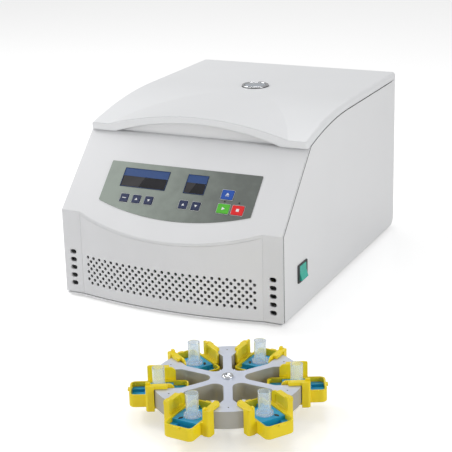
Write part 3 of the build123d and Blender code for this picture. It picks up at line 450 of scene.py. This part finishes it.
class Palette:
    """Every finish of the object, built once and handed out by name."""

    FINISHES = (
        Enamel("casing_white", (0.86, 0.865, 0.875), shade=0.985),
        Enamel("lid_white", (0.86, 0.87, 0.885), shade=0.985, rounding=0.003),
        Enamel("front_white", (0.78, 0.785, 0.80), roughness=0.4, rounding=0.0018),
        Film("overlay_film", (0.30, 0.345, 0.305), (0.125, 0.14, 0.128), (-0.19, 0.02)),
        Screen("display_glass", (0.002, 0.002, 0.004), (0.006, 0.006, 0.010)),
        Screen("display_pale", (0.028, 0.027, 0.030), (0.040, 0.038, 0.042)),
        Moulded("display_blue", (0.008, 0.055, 0.21)),
        Moulded("navy_key", (0.007, 0.018, 0.078)),
        Moulded("blue_key", (0.012, 0.085, 0.43), roughness=0.35),
        Moulded("green_key", (0.09, 0.50, 0.03), roughness=0.35),
        Moulded("red_key", (0.78, 0.014, 0.016), roughness=0.35),
        Moulded("key_print", (0.86, 0.87, 0.88), roughness=0.45),
        Moulded("board_green", (0.02, 0.12, 0.05)),
        Moulded("rocker_teal", (0.05, 0.52, 0.41), roughness=0.25, glow=0.2),
        Moulded("switch_grey", (0.05, 0.055, 0.058), roughness=0.45),
        Moulded("black_plastic", (0.012, 0.012, 0.013)),
        Moulded("black_rubber", (0.02, 0.02, 0.02), roughness=0.7, grain=0.0004),
        Brushed("stainless", (0.60, 0.61, 0.62), roughness=0.28, lines=(1.0, 1.0, 90.0)),
        Brushed("ground_steel", (0.62, 0.62, 0.63), roughness=0.22, lines=(1.0, 1.0, 140.0)),
        Brushed("zinc", (0.50, 0.50, 0.50), roughness=0.42, lines=(12.0, 12.0, 12.0)),
        Brushed("chrome", (0.82, 0.83, 0.85), roughness=0.16, lines=(1.0, 1.0, 1.0),
                depth=0.000001, rounding=0.0),
        Enamel("motor_black", (0.02, 0.02, 0.022), roughness=0.5),
        Moulded("lining_white", (0.72, 0.73, 0.74), roughness=0.5),
        Clear("sight_clear", (0.60, 0.66, 0.74), roughness=0.05, transmission=0.35),
        # The rotor's upright faces get a darker warm grey: painted shade.
        Brushed("rotor_silver", (0.64, 0.68, 0.78), roughness=0.5, lines=(1.0, 1.0, 14.0),
                metallic=0.3, size=0.006, shaded_flank=(0.47, 0.46, 0.42)),
        Moulded("carrier_yellow", (0.93, 0.73, 0.012), roughness=0.32, glow=0.15, shade=0.96),
        Moulded("holder_blue", (0.02, 0.40, 0.74), roughness=0.34, glow=0.1),
        Milky("tube_milky", (0.90, 0.95, 0.99)),
    )
    SLOTS = {
        "casing": "casing_white", "front_moulding": "front_white", "overlay": "overlay_film",
        "display": "display_glass", "navy_key": "navy_key", "open_key": "blue_key",
        "start_key": "green_key", "stop_key": "red_key", "board": "board_green",
        "rocker": "rocker_teal", "switch_frame": "switch_grey", "inlet": "black_plastic",
        "rubber": "black_rubber", "bowl_steel": "stainless", "shaft_steel": "ground_steel",
        "motor": "motor_black", "hardware": "chrome", "lid_lining": "lining_white",
        "sight": "sight_clear", "latch": "zinc", "rotor_metal": "rotor_silver",
        "carrier": "carrier_yellow", "holder": "holder_blue", "tube": "tube_milky",
    }
    NODES = {"lower_fascia": "front_white", "lid_shell": "lid_white"}

    def __init__(self) -> None:
        """Build every finish."""
        self.made = {finish.name: finish.build() for finish in self.FINISHES}

    def dress_frame(self) -> None:
        """Give every carried-over node its own finish, or else its slot's."""
        for part in frame["record"]["subparts"]:
            node = frame["nodes"][part["node"]]
            finish = self.NODES.get(part["node"], self.SLOTS[part["material_slot"]])
            for slot in node.material_slots:
                slot.material = self.made[finish]
            log.info("%s wears %s", node.name, finish)


# ---- making pieces
class Workshop:
    """Turns outlines into finished pieces and hands them to the frame."""

    def __init__(self, palette: Palette) -> None:
        """Keep the palette.

        Args:
            palette: the finishes to dress pieces with.
        """
        self.palette = palette

    def place(self, mesh: bpy.types.Mesh, name: str, body: str, finish: str,
              slot: str) -> bpy.types.Object:
        """Make a piece of a mesh that is already where it belongs.

        Args:
            mesh: the mesh, in the row frame, in metres.
            name: the piece's name.
            body: the body it moves with.
            finish: the finish it wears.
            slot: the record's material slot; not used.

        Returns:
            The finished piece.
        """
        mesh.materials.clear()
        mesh.materials.append(self.palette.made[finish])
        for face in mesh.polygons:
            face.material_index = 0
        piece = bpy.data.objects.new(name, mesh)
        bpy.context.scene.collection.objects.link(piece)
        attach(piece, body)
        low, high = (Vector(map(op, *(v.co for v in mesh.vertices))) for op in (min, max))
        log.info("%s rides on %s, %s mm", name, body,
                 " x ".join(f"{side / MM:.1f}" for side in high - low))
        return piece

    @staticmethod
    def prism(outlines: list[list[Point]], at: Matrix, low: float, high: float,
              bevel: float = 0.0) -> bpy.types.Mesh:
        """Make flat prisms over plane outlines.

        Args:
            outlines: outlines in millimetres, each counter-clockwise.
            at: the plane they lie on.
            low: where they start above it, in millimetres.
            high: where they end.
            bevel: the edge break, in millimetres.

        Returns:
            The mesh, in place.
        """
        shape = bmesh.new()
        for outline in outlines:
            foot = [shape.verts.new(Vector((x, y, low)) * MM) for x, y in outline]
            head = [shape.verts.new(Vector((x, y, high)) * MM) for x, y in outline]
            top = shape.faces.new(head)
            shape.faces.new(reversed(foot))
            count = len(outline)
            for i in range(count):
                j = (i + 1) % count
                shape.faces.new((foot[i], foot[j], head[j], head[i]))
            if bevel:
                bmesh.ops.bevel(shape, geom=list(top.edges), offset=bevel * MM, segments=2,
                                profile=0.5, affect="EDGES")
        bmesh.ops.recalc_face_normals(shape, faces=shape.faces)
        mesh = bpy.data.meshes.new("prism")
        shape.to_mesh(mesh)
        shape.free()
        mesh.transform(at)
        return mesh

    @staticmethod
    def turned(profile: list[Point], at: Matrix, steps: int = 64) -> bpy.types.Mesh:
        """Turn a profile about the plane's own normal.

        Args:
            profile: radius and height pairs in millimetres, from the axis or back to it.
            at: the plane whose normal is the axis.
            steps: how many steps make the full turn.

        Returns:
            The smooth closed mesh, in place.
        """
        shape = bmesh.new()
        rim = [shape.verts.new(Vector((r, 0, z)) * MM) for r, z in profile]
        edges = [shape.edges.new(pair) for pair in zip(rim, rim[1:])]
        bmesh.ops.spin(shape, geom=rim + edges, cent=(0, 0, 0), axis=(0, 0, 1),
                       angle=math.tau, steps=steps, use_merge=True)
        bmesh.ops.remove_doubles(shape, verts=shape.verts, dist=WELD)
        bmesh.ops.recalc_face_normals(shape, faces=shape.faces)
        mesh = bpy.data.meshes.new("turned")
        shape.to_mesh(mesh)
        shape.free()
        mesh.shade_smooth()
        mesh.transform(at)
        return mesh

    @staticmethod
    def baked(tree: bpy.types.NodeTree, values: dict[str, object], at: Matrix) -> bpy.types.Mesh:
        """Run a geometry tree once and keep its result as a plain mesh.

        Args:
            tree: the geometry tree.
            values: its named inputs.
            at: where the result goes.

        Returns:
            The mesh, in place.
        """
        holder = bpy.data.objects.new("holder", bpy.data.meshes.new("holder"))
        bpy.context.scene.collection.objects.link(holder)
        modifier = holder.modifiers.new("tree", "NODES")
        modifier.node_group = tree
        for item in tree.interface.items_tree:
            if getattr(item, "in_out", "") == "INPUT" and item.name in values:
                modifier[item.identifier] = values[item.name]
        evaluated = holder.evaluated_get(bpy.context.evaluated_depsgraph_get())
        mesh = bpy.data.meshes.new_from_object(evaluated)
        holder.modifiers.remove(modifier)
        bpy.data.objects.remove(holder)
        mesh.transform(at)
        return mesh

    @staticmethod
    def joined(meshes: list[bpy.types.Mesh]) -> bpy.types.Mesh:
        """Put several meshes into one.

        Args:
            meshes: the meshes, all in place.

        Returns:
            The one mesh.
        """
        shape = bmesh.new()
        for mesh in meshes:
            shape.from_mesh(mesh)
        whole = bpy.data.meshes.new("joined")
        shape.to_mesh(whole)
        shape.free()
        return whole


class GeometryTree:
    """A geometry tree under construction, with named inputs."""

    def __init__(self, name: str, inputs: dict[str, str]) -> None:
        """Start a tree that ends in realised geometry.

        Args:
            name: the tree's name.
            inputs: the name and socket type of each input.
        """
        self.tree = bpy.data.node_groups.new(name, "GeometryNodeTree")
        for label, kind in inputs.items():
            self.tree.interface.new_socket(name=label, in_out="INPUT", socket_type=kind)
        self.tree.interface.new_socket(name="Geometry", in_out="OUTPUT",
                                       socket_type="NodeSocketGeometry")
        self.entry = self.tree.nodes.new("NodeGroupInput")
        self.exit = self.tree.nodes.new("NodeGroupOutput")

    def node(self, kind: str, inputs: dict[str, object], **settings: object) -> bpy.types.Node:
        """Add a node, set its properties and feed its inputs.

        Args:
            kind: the node's type.
            inputs: a value or an output for each input.
            **settings: the node's properties.

        Returns:
            The new node.
        """
        made = self.tree.nodes.new(kind)
        for name, value in settings.items():
            setattr(made, name, value)
        for name, value in inputs.items():
            if isinstance(value, bpy.types.NodeSocket):
                self.tree.links.new(value, made.inputs[name])
            else:
                made.inputs[name].default_value = value
        return made

    def finish(self, geometry: bpy.types.NodeSocket, material: bpy.types.NodeSocket
               ) -> bpy.types.NodeTree:
        """Realise the geometry, give it its finish and close the tree.

        Args:
            geometry: what the tree has made.
            material: the finish.

        Returns:
            The whole tree.
        """
        real = self.node("GeometryNodeRealizeInstances", {"Geometry": geometry})
        dressed = self.node("GeometryNodeSetMaterial",
                            {"Geometry": real.outputs[0], "Material": material})
        self.tree.links.new(dressed.outputs[0], self.exit.inputs[0])
        return self.tree


# ---- the cabinet's own places
@dataclass
class Cabinet:
    """Where the cabinet stands, and the planes of its faces."""

    shaft_y: float = 360.0
    foot_height: float = 5.5
    kink_height: float = 150.0
    slope: float = math.radians(45.0)
    slope_rise: float = 115.0
    seam_rise: float = 26.0
    seam_run: float = 185.0
    panel_setback: float = 5.2
    seam_shade_start: float = 2.9
    origin: Vector = field(init=False)

    def __post_init__(self) -> None:
        """Find the cabinet's front middle from its drive shaft."""
        low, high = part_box("drive_shaft")
        middle = (low + high) / 2
        self.origin = Vector((middle.x, middle.y - self.shaft_y * MM, self.foot_height * MM))

    def on_slope(self, x: float, v: float, lift: float = 0.0) -> Matrix:
        """Find a plane on the control slope, with x to the right and y up the slope.

        Args:
            x: the origin's place to the right of the middle, in millimetres.
            v: its place up the slope from the kink, in millimetres.
            lift: its height above the slope, in millimetres.

        Returns:
            The plane.
        """
        at = Matrix.Translation(self.origin + Vector((0, 0, self.kink_height * MM)))
        return (at @ Matrix.Rotation(self.slope, 4, "X")
                @ Matrix.Translation((x * MM, v * MM, lift * MM)))

    def level(self, x: float, y: float, z: float) -> Matrix:
        """Find the level plane at a point of the cabinet.

        Args:
            x: the point's place to the right of the middle, in millimetres.
            y: its place behind the front, in millimetres.
            z: its height above the cabinet's foot, in millimetres.

        Returns:
            The plane.
        """
        return Matrix.Translation(self.origin + Vector((x, y, z)) * MM)


class Symbol(Enum):
    """Plain marks on the keys, each as outlines in millimetres about the key's middle."""

    UP = (((-2.6, -1.9), (2.6, -1.9), (0.0, 2.5)),)
    DOWN = (((-2.6, 1.9), (0.0, -2.5), (2.6, 1.9)),)
    BAR = (((-3.6, -0.7), (3.6, -0.7), (3.6, 0.7), (-3.6, 0.7)),)
    EJECT = (((-3.4, -0.4), (3.4, -0.4), (0.0, 3.4)),
             ((-3.4, -2.8), (3.4, -2.8), (3.4, -1.6), (-3.4, -1.6)))
    PLAY = (((-2.4, -3.1), (3.3, 0.0), (-2.4, 3.1)),)
    HALT = (((-2.6, -2.6), (2.6, -2.6), (2.6, 2.6), (-2.6, 2.6)),)


@dataclass(frozen=True)
class Key:
    """One key of the panel: its body, middle, size and mark."""

    body: str
    x: float
    v: float
    width: float
    height: float
    mark: Symbol


@dataclass
class ControlPanel:
    """Marks, key outlines, display frames and lamps of the sloped control panel."""

    shop: Workshop
    cabinet: Cabinet
    overlay_top: float = 0.8
    key_top: float = 1.8
    key_gap: float = 0.3
    key_corner: float = 1.6
    print_height: float = 0.12
    print_root: float = 0.05
    outline: float = 0.9
    frame_rise: float = 0.3
    display_middle: float = 75.0
    display_height: float = 36.5
    display_border: float = 1.6
    display_corner: float = 0.6
    header_height: float = 14.5
    header_inset: float = 1.0
    band_root: float = 0.1
    pale_height: float = 0.05
    pale_lean: float = 8.0
    displays: tuple[Point, ...] = ((-68.5, 86.5), (28.0, 38.5))
    lamps: tuple[Point, ...] = ((88.7, 50.4), (114.7, 50.4))
    lamp_profile: tuple[Point, ...] = ((0.0, 0.0), (1.5, 0.0), (1.4, 0.35), (0.0, 0.6))
    lamp_steps: int = 20
    keys: tuple[Key, ...] = (
        Key("set_button", -94.5, 35.5, 15.0, 15.0, Symbol.BAR),
        Key("speed_up_button", -71.2, 35.5, 15.0, 15.0, Symbol.UP),
        Key("speed_down_button", -47.9, 35.5, 15.0, 15.0, Symbol.DOWN),
        Key("time_up_button", 17.0, 35.5, 15.0, 15.0, Symbol.UP),
        Key("time_down_button", 40.3, 35.5, 15.0, 15.0, Symbol.DOWN),
        Key("open_button", 90.0, 62.8, 21.0, 17.0, Symbol.EJECT),
        Key("start_button", 90.0, 36.8, 21.0, 17.0, Symbol.PLAY),
        Key("stop_button", 116.0, 36.8, 21.0, 17.0, Symbol.HALT),
    )

    def build(self) -> None:
        """Make every piece of the panel."""
        self.marks()
        self.outlines()
        self.display_frames()
        self.pale_halves()
        self.lamp_dots()

    def marks(self) -> None:
        """Print each key's mark on its cap."""
        for key in self.keys:
            mesh = self.shop.prism([list(part) for part in key.mark.value],
                                   self.cabinet.on_slope(key.x, key.v),
                                   self.key_top - self.print_root,
                                   self.key_top + self.print_height)
            self.shop.place(mesh, f"{key.body}_mark", key.body, "key_print", "casing")

    def frame_tree(self) -> bpy.types.NodeTree:
        """Build the tree of a flat rounded frame that follows a rectangle.

        Returns:
            The tree.
        """
        build = GeometryTree("rounded_frame", {
            "Width": "NodeSocketFloat", "Height": "NodeSocketFloat", "Corner": "NodeSocketFloat",
            "Line": "NodeSocketFloat", "Rise": "NodeSocketFloat", "Finish": "NodeSocketMaterial"})
        entry = build.entry.outputs
        path = build.node("GeometryNodeCurvePrimitiveQuadrilateral",
                          {"Width": entry["Width"], "Height": entry["Height"]})
        rounded = build.node("GeometryNodeFilletCurve",
                             {"Curve": path.outputs[0], "Radius": entry["Corner"], "Count": 5},
                             mode="POLY")
        section = build.node("GeometryNodeCurvePrimitiveQuadrilateral",
                             {"Width": entry["Rise"], "Height": entry["Line"]})
        solid = build.node("GeometryNodeCurveToMesh",
                           {"Curve": rounded.outputs[0], "Profile Curve": section.outputs[0]})
        return build.finish(solid.outputs[0], entry["Finish"])

    def flat_frame(self, tree: bpy.types.NodeTree, middle: Point, size: Point, corner: float,
                   line: float, finish: str) -> bpy.types.Mesh:
        """Make one flat rounded frame on the overlay.

        Args:
            tree: the tree of such frames.
            middle: its middle on the slope, in millimetres.
            size: the width and height of its middle line.
            corner: the corner radius of its middle line.
            line: how wide the frame itself is.
            finish: the finish it wears.

        Returns:
            The mesh, in place.
        """
        return self.shop.baked(tree, {
            "Width": size[0] * MM, "Height": size[1] * MM, "Corner": corner * MM,
            "Line": line * MM, "Rise": self.frame_rise * MM,
            "Finish": self.shop.palette.made[finish],
        }, self.cabinet.on_slope(*middle, self.overlay_top))

    def outlines(self) -> None:
        """Print the pale outline round each key on the overlay."""
        tree = self.frame_tree()
        more = 2 * self.key_gap + self.outline
        frames = [self.flat_frame(tree, (key.x, key.v), (key.width + more, key.height + more),
                                  self.key_corner, self.outline, "key_print")
                  for key in self.keys]
        self.shop.place(self.shop.joined(frames), "key_outlines", "cabinet", "key_print",
                        "overlay")

    def display_frames(self) -> None:
        """Put a blue border and a header band on each display."""
        tree = self.frame_tree()
        parts = []
        for x, width in self.displays:
            parts.append(self.flat_frame(
                tree, (x, self.display_middle),
                (width - self.display_border, self.display_height - self.display_border),
                self.display_corner, self.display_border, "display_blue"))
            half, top = (side / 2 - self.header_inset for side in (width, self.display_height))
            foot = top - self.header_height
            band = [(-half, foot), (half, foot), (half, top), (-half, top)]
            parts.append(self.shop.prism([band], self.cabinet.on_slope(x, self.display_middle),
                                         self.overlay_top - self.band_root,
                                         self.overlay_top + self.print_height))
        self.shop.place(self.shop.joined(parts), "display_frames", "cabinet", "display_blue",
                        "display")

    def pale_halves(self) -> None:
        """Print the paler part of each display, left of a line that leans outwards."""
        parts = []
        top = self.display_height / 2 - self.header_height
        foot = self.display_border - self.display_height / 2
        for x, width in self.displays:
            left = self.display_border - width / 2
            area = [(left, foot), (-self.pale_lean, foot), (0.0, top), (left, top)]
            parts.append(self.shop.prism([area], self.cabinet.on_slope(x, self.display_middle),
                                         self.overlay_top - self.band_root,
                                         self.overlay_top + self.pale_height))
        self.shop.place(self.shop.joined(parts), "display_pale_parts", "cabinet", "display_pale",
                        "display")

    def lamp_dots(self) -> None:
        """Set the two small dark indicator lamps beside the keys."""
        dots = [self.shop.turned(self.lamp_profile, self.cabinet.on_slope(x, v, self.overlay_top),
                                 self.lamp_steps) for x, v in self.lamps]
        self.shop.place(self.shop.joined(dots), "indicator_lamps", "cabinet", "black_plastic",
                        "overlay")


@dataclass
class SightGlass:
    """Domed glass of the lid in its bright ring, on a black ring: painted shade under the ring's
    wall.

    Both ring sections are pairs of a step away from that side's radius and a height above
    the black shade ring.
    """

    shop: Workshop
    cabinet: Cabinet
    lid_top: float = 305.5
    ring_radius: float = 25.0
    ring_inner: float = 20.0
    ring_outside: tuple[Point, ...] = ((0.0, 0.0), (0.0, 0.8), (-0.8, 1.9), (-2.2, 2.3))
    ring_inside: tuple[Point, ...] = ((0.5, 1.8), (0.0, 1.2), (0.0, 0.0))
    shade_ring_height: float = 1.2
    shade_ring_reach: float = 0.2
    dome_root: float = -3.0
    dome_gap: float = 0.3
    dome_shoulder: float = 0.6
    dome_rise: float = 2.0
    dome_steps: int = 7

    def build(self) -> None:
        """Make the black shade ring, the bright ring and the dome."""
        at = self.cabinet.level(0.0, self.cabinet.shaft_y, self.lid_top)
        inner, outer, low = self.ring_inner, self.ring_radius, self.shade_ring_height
        root, rim = -self.shade_ring_reach, outer + self.shade_ring_reach
        # The black ring is painted shade: it darkens the foot of the bright ring as if its wall
        # were in shadow.
        shade_ring_outline = [(inner, root), (rim, root), (rim, low), (inner, low), (inner, root)]
        self.shop.place(self.shop.turned(shade_ring_outline, at), "sight_gasket", "lid", "black_rubber",
                        "rubber")
        ring = [(inner, low), *((outer + step, low + rise) for step, rise in self.ring_outside),
                *((inner + step, low + rise) for step, rise in self.ring_inside)]
        self.shop.place(self.shop.turned(ring, at), "sight_ring", "lid", "chrome", "hardware")
        shoulder = low + self.dome_shoulder
        wall = inner - self.dome_gap
        dome = [(0.0, self.dome_root), (wall, self.dome_root), (wall, shoulder)]
        for step in range(1, self.dome_steps):
            angle = math.pi / 2 * step / self.dome_steps
            dome.append((inner * math.cos(angle), shoulder + self.dome_rise * math.sin(angle)))
        dome.append((0.0, shoulder + self.dome_rise))
        piece = self.shop.place(self.shop.turned(dome, at), "sight_dome", "lid", "sight_clear",
                                "sight")
        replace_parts(piece, "sight_glass")


@dataclass
class SeamShadeStrips:
    """Dark strips on the front and upper edges of each side panel: painted shade for the shadow in
    the seams against the front moulding and the lid.

    Each band is where the strip starts and ends, away from the panel's edge.
    """

    shop: Workshop
    cabinet: Cabinet
    face: float = 205.0
    inset: float = 1.4
    proud: float = 0.12
    front_band: Point = (-0.5, 1.1)
    top_band: Point = (-0.6, 0.8)
    foot: float = 2.0
    rear: float = 540.0
    arc_steps: int = 24
    front_points: int = 2

    def build(self) -> None:
        """Lay the shade strips on both sides."""
        path = self.edge()
        for side, name in ((-1, "left"), (1, "right")):
            shape = bmesh.new()
            rings = []
            for i, (y, z) in enumerate(path):
                (y0, z0), (y1, z1) = path[max(i - 1, 0)], path[min(i + 1, len(path) - 1)]
                away = Vector((0.0, z0 - z1, y1 - y0)).normalized()
                low, high = self.front_band if i < self.front_points else self.top_band
                corners = ((-self.inset, low), (self.proud, low), (self.proud, high),
                           (-self.inset, high))
                rings.append([shape.verts.new(
                    self.cabinet.origin
                    + (Vector((side * (self.face + out), y, z)) + away * rise) * MM)
                    for out, rise in corners])
            for first, last in zip(rings, rings[1:]):
                for k in range(len(first)):
                    shape.faces.new((first[k - 1], first[k], last[k], last[k - 1]))
            shape.faces.new(rings[0])
            shape.faces.new(rings[-1])
            bmesh.ops.recalc_face_normals(shape, faces=shape.faces)
            mesh = bpy.data.meshes.new("painted_seam_shade")
            shape.to_mesh(mesh)
            shape.free()
            # The strips wear black rubber, but they are painted shade in the seams.
            self.shop.place(mesh, f"seam_trim_{name}", "cabinet", "black_rubber", "rubber")

    def edge(self) -> list[Point]:
        """Follow a side panel's outer edge from its foot over the slope to the rear.

        Returns:
            Points as y and z in the cabinet's millimetres.
        """
        box = self.cabinet
        back = box.panel_setback
        slope_run = box.slope_rise / math.tan(box.slope)
        top = box.kink_height + box.slope_rise + box.seam_rise
        radius = (box.seam_run ** 2 + box.seam_rise ** 2) / (2 * box.seam_rise)
        end = slope_run + box.seam_run
        kink = box.kink_height + back * (1 - 1 / math.cos(box.slope)) / math.tan(box.slope)
        points = [(back, self.foot), (back, kink)]
        start = slope_run + back / math.sin(box.slope) + box.seam_shade_start
        first = math.asin((end - start) / radius)
        for step in range(self.arc_steps + 1):
            turn = first * (1 - step / self.arc_steps)
            points.append((end - radius * math.sin(turn), top - radius * (1 - math.cos(turn))))
        return [*points, (self.rear, top)]


@dataclass
class RearScrews:
    """Heads of the four screws in the rear panel, repeated by a geometry tree.

    The dome's section and the cross's span are shares of a head's radius and height.
    """

    REARWARD: ClassVar[Matrix] = (Matrix.Rotation(math.pi, 4, "Z")
                                  @ Matrix.Rotation(math.pi / 2, 4, "X"))

    shop: Workshop
    cabinet: Cabinet
    depth: float = 559.0
    head_radius: float = 3.5
    head_height: float = 1.8
    cross: float = 3.8
    blade: float = 0.9
    dome: tuple[Point, ...] = ((0.0, 0.0), (1.0, 0.0), (1.0, 0.35), (0.86, 0.72), (0.6, 0.93),
                               (0.0, 0.96))
    dome_steps: int = 28
    cross_span: Point = (0.9, 0.99)

    def build(self) -> None:
        """Replace the plain heads with domed ones with a cross in each."""
        low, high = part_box("rear_screws")
        across, upright = (side / MM - 2 * self.head_radius
                           for side in (high.x - low.x, high.z - low.z))
        build = GeometryTree("screw_grid", {
            "Across": "NodeSocketFloat", "Upright": "NodeSocketFloat", "Head": "NodeSocketObject",
            "Finish": "NodeSocketMaterial"})
        entry = build.entry.outputs
        grid = build.node("GeometryNodeMeshGrid", {
            "Size X": entry["Across"], "Size Y": entry["Upright"],
            "Vertices X": 2, "Vertices Y": 2})
        head = build.node("GeometryNodeObjectInfo", {"Object": entry["Head"]})
        copies = build.node("GeometryNodeInstanceOnPoints", {
            "Points": grid.outputs[0], "Instance": head.outputs["Geometry"]})
        tree = build.finish(copies.outputs[0], entry["Finish"])
        middle = (low + high) / 2 - self.cabinet.origin
        at = self.cabinet.level(middle.x / MM, self.depth, middle.z / MM) @ self.REARWARD
        sample = bpy.data.objects.new("head", self.head())
        bpy.context.scene.collection.objects.link(sample)
        bpy.context.view_layer.update()
        mesh = self.shop.baked(tree, {
            "Across": across * MM, "Upright": upright * MM, "Head": sample,
            "Finish": self.shop.palette.made["chrome"]}, at)
        bpy.data.objects.remove(sample)
        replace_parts(self.shop.place(mesh, "rear_screw_heads", "cabinet", "chrome", "hardware"),
                    "rear_screws")

    def head(self) -> bpy.types.Mesh:
        """Make one screw head: a dome with the raised edges of its cross.

        Returns:
            The mesh, about the head's own foot.
        """
        profile = [(self.head_radius * out, self.head_height * up) for out, up in self.dome]
        half, thin = self.cross / 2, self.blade / 2
        blade = [(-half, -thin), (half, -thin), (half, thin), (-half, thin)]
        turned = [(-y, x) for x, y in blade]
        low, high = (self.head_height * share for share in self.cross_span)
        return self.shop.joined([self.shop.turned(profile, Matrix(), self.dome_steps),
                                 self.shop.prism([blade, turned], Matrix(), low, high)])


@dataclass
class Rotor:
    """Small pieces of the rotor's six places."""

    shop: Workshop
    places: int = 6
    first_turn: float = -64.1
    tube_circle: float = 96.0
    block_top: float = 37.0
    clip_length: float = 7.4
    clip_width: float = 3.8
    clip_turn: float = 0.5
    clip_root: float = -0.5
    clip_height: float = 0.8
    clip_bevel: float = 0.3
    oval_steps: int = 24
    clips: tuple[Point, ...] = ((14.0, 10.0), (-11.0, 11.0))

    def build(self) -> None:
        """Make the two dark oval clips beside each tube."""
        low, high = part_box("rotor_hub")
        axis = (low + high) / 2
        angles = [step * math.tau / self.oval_steps for step in range(self.oval_steps)]
        oval = [(self.clip_length / 2 * math.cos(angle), self.clip_width / 2 * math.sin(angle))
                for angle in angles]
        for place in range(self.places):
            turn = math.radians(self.first_turn + 180.0 / self.places * (2 * place + 1))
            heading = Matrix.Translation((axis.x, axis.y, 0)) @ Matrix.Rotation(turn, 4, "Z")
            hand = 1.0 if place < self.places / 2 else -1.0
            meshes = []
            for out, side in self.clips:
                at = heading @ Matrix.Translation(
                    ((self.tube_circle + out) * MM, hand * side * MM, self.block_top * MM))
                turned = at @ Matrix.Rotation(hand * self.clip_turn, 4, "Z")
                meshes.append(self.shop.prism([oval], turned, self.clip_root, self.clip_height,
                                              self.clip_bevel))
            self.shop.place(self.shop.joined(meshes), f"oval_clips_{place + 1}",
                            f"carrier_{place + 1}", "black_plastic", "inlet")


# ---- studio
@dataclass(frozen=True)
class Lamp:
    """One square soft lamp: its place from the origin, its side and its power in watts."""

    name: str
    at: Triple
    size: float
    power: float


@dataclass
class Studio:
    """White floor, soft lamps and the camera."""

    cabinet: Cabinet
    focal: float = 1279.0
    image: float = 452.0
    azimuth: float = math.radians(25.80)
    elevation: float = math.radians(17.35)
    roll: float = math.radians(-1.5)
    place: Triple = (959.4, -1758.9, 811.8)
    centre_up: float = 26.0
    centre_left: float = 0.7
    reach: float = 12.0
    floor_colour: Colour = (0.80, 0.80, 0.80)
    floor_lift: float = 0.46
    surround: float = 0.40
    white: tuple[float, ...] = (1.0, 1.0, 1.0, 1.0)
    aim: Triple = (0.0, 0.05, 0.15)
    lamps: tuple[Lamp, ...] = (
        Lamp("right_lamp", (3.0, -0.6, 0.9), 1.4, 36.0),
        Lamp("left_lamp", (-2.1, 0.1, 2.1), 1.0, 32.0),
        Lamp("top_lamp", (-0.5, 1.4, 3.0), 1.2, 20.0),
        Lamp("front_lamp", (-1.5, -3.0, 0.5), 1.0, 26.0),
    )

    def build(self) -> None:
        """Make the stage, the light and the camera."""
        self.camera()
        self.floor()
        self.light()
        bpy.context.scene.view_settings.view_transform = "Standard"

    def camera(self) -> None:
        """Set the camera at the photograph's place and angle."""
        a, e, r = self.azimuth, self.elevation, self.roll
        back = Vector((math.sin(a) * math.cos(e), -math.cos(a) * math.cos(e), math.sin(e)))
        right = (-back).cross(Vector((0, 0, 1))).normalized()
        up = right.cross(-back)
        side = math.cos(r) * right + math.sin(r) * up
        head = -math.sin(r) * right + math.cos(r) * up
        turn = Matrix((side, head, back)).transposed()
        lens = bpy.data.cameras.new("camera")
        lens.lens = self.focal / self.image * lens.sensor_width
        lens.shift_x = -self.centre_left / self.image
        lens.shift_y = -self.centre_up / self.image
        camera = bpy.data.objects.new("camera", lens)
        camera.matrix_world = (Matrix.Translation(self.cabinet.origin + Vector(self.place) * MM)
                               @ turn.to_4x4())
        bpy.context.scene.collection.objects.link(camera)
        bpy.context.scene.camera = camera

    def floor(self) -> None:
        """Lay a white floor that keeps the object's shadow and is brighter to the camera."""
        mesh = bpy.data.meshes.new("floor")
        r = self.reach
        mesh.from_pydata([(-r, -r, 0), (r, -r, 0), (r, r, 0), (-r, r, 0)], [], [(0, 1, 2, 3)])
        shader = Shader("floor_white")
        shader.set(Base_Color=self.floor_colour, Roughness=0.12, Specular_IOR_Level=0.35)
        lift = shader.node("ShaderNodeEmission")
        lift.inputs["Color"].default_value = self.white
        both = shader.node("ShaderNodeAddShader")
        rays = shader.node("ShaderNodeLightPath")
        shader.join(shader.ramp(rays.outputs["Is Camera Ray"], 0.0, 1.0, 0.0, self.floor_lift),
                    lift.inputs["Strength"])
        shader.join(shader.surface.outputs[0], both.inputs[0])
        shader.join(lift.outputs[0], both.inputs[1])
        shader.join(both.outputs[0], shader.output.inputs["Surface"])
        mesh.materials.append(shader.material)
        floor = bpy.data.objects.new("floor", mesh)
        bpy.context.scene.collection.objects.link(floor)

    def light(self) -> None:
        """Light the object softly from all round, before a surround that the camera sees white."""
        world = bpy.data.worlds.new("surround")
        world.use_nodes = True
        nodes, links = world.node_tree.nodes, world.node_tree.links
        background = next(n for n in nodes if n.type == "BACKGROUND")
        rays = nodes.new("ShaderNodeLightPath")
        spread = nodes.new("ShaderNodeMapRange")
        spread.inputs["To Min"].default_value = self.surround
        spread.inputs["To Max"].default_value = 1.0
        links.new(rays.outputs["Is Camera Ray"], spread.inputs["Value"])
        links.new(spread.outputs["Result"], background.inputs["Strength"])
        background.inputs["Color"].default_value = self.white
        bpy.context.scene.world = world
        for lamp in self.lamps:
            self.hang(lamp)

    def hang(self, lamp: Lamp) -> None:
        """Hang a lamp so that it faces the cabinet.

        Args:
            lamp: the lamp.
        """
        data = bpy.data.lights.new(lamp.name, "AREA")
        data.shape = "SQUARE"
        data.size = lamp.size
        data.energy = lamp.power
        light = bpy.data.objects.new(lamp.name, data)
        towards = Vector(self.aim) - Vector(lamp.at)
        light.matrix_world = (Matrix.Translation(Vector(lamp.at))
                              @ towards.to_track_quat("-Z", "Y").to_matrix().to_4x4())
        bpy.context.scene.collection.objects.link(light)


def main() -> None:
    """Dress the frame, make the added pieces and set the studio."""
    logging.basicConfig(level=logging.INFO, format="%(name)s: %(message)s")
    palette = Palette()
    palette.dress_frame()
    shop = Workshop(palette)
    cabinet = Cabinet()
    ControlPanel(shop, cabinet).build()
    SightGlass(shop, cabinet).build()
    SeamShadeStrips(shop, cabinet).build()
    RearScrews(shop, cabinet).build()
    Rotor(shop).build()
    Studio(cabinet).build()


if __name__ == "__main__":
    main()
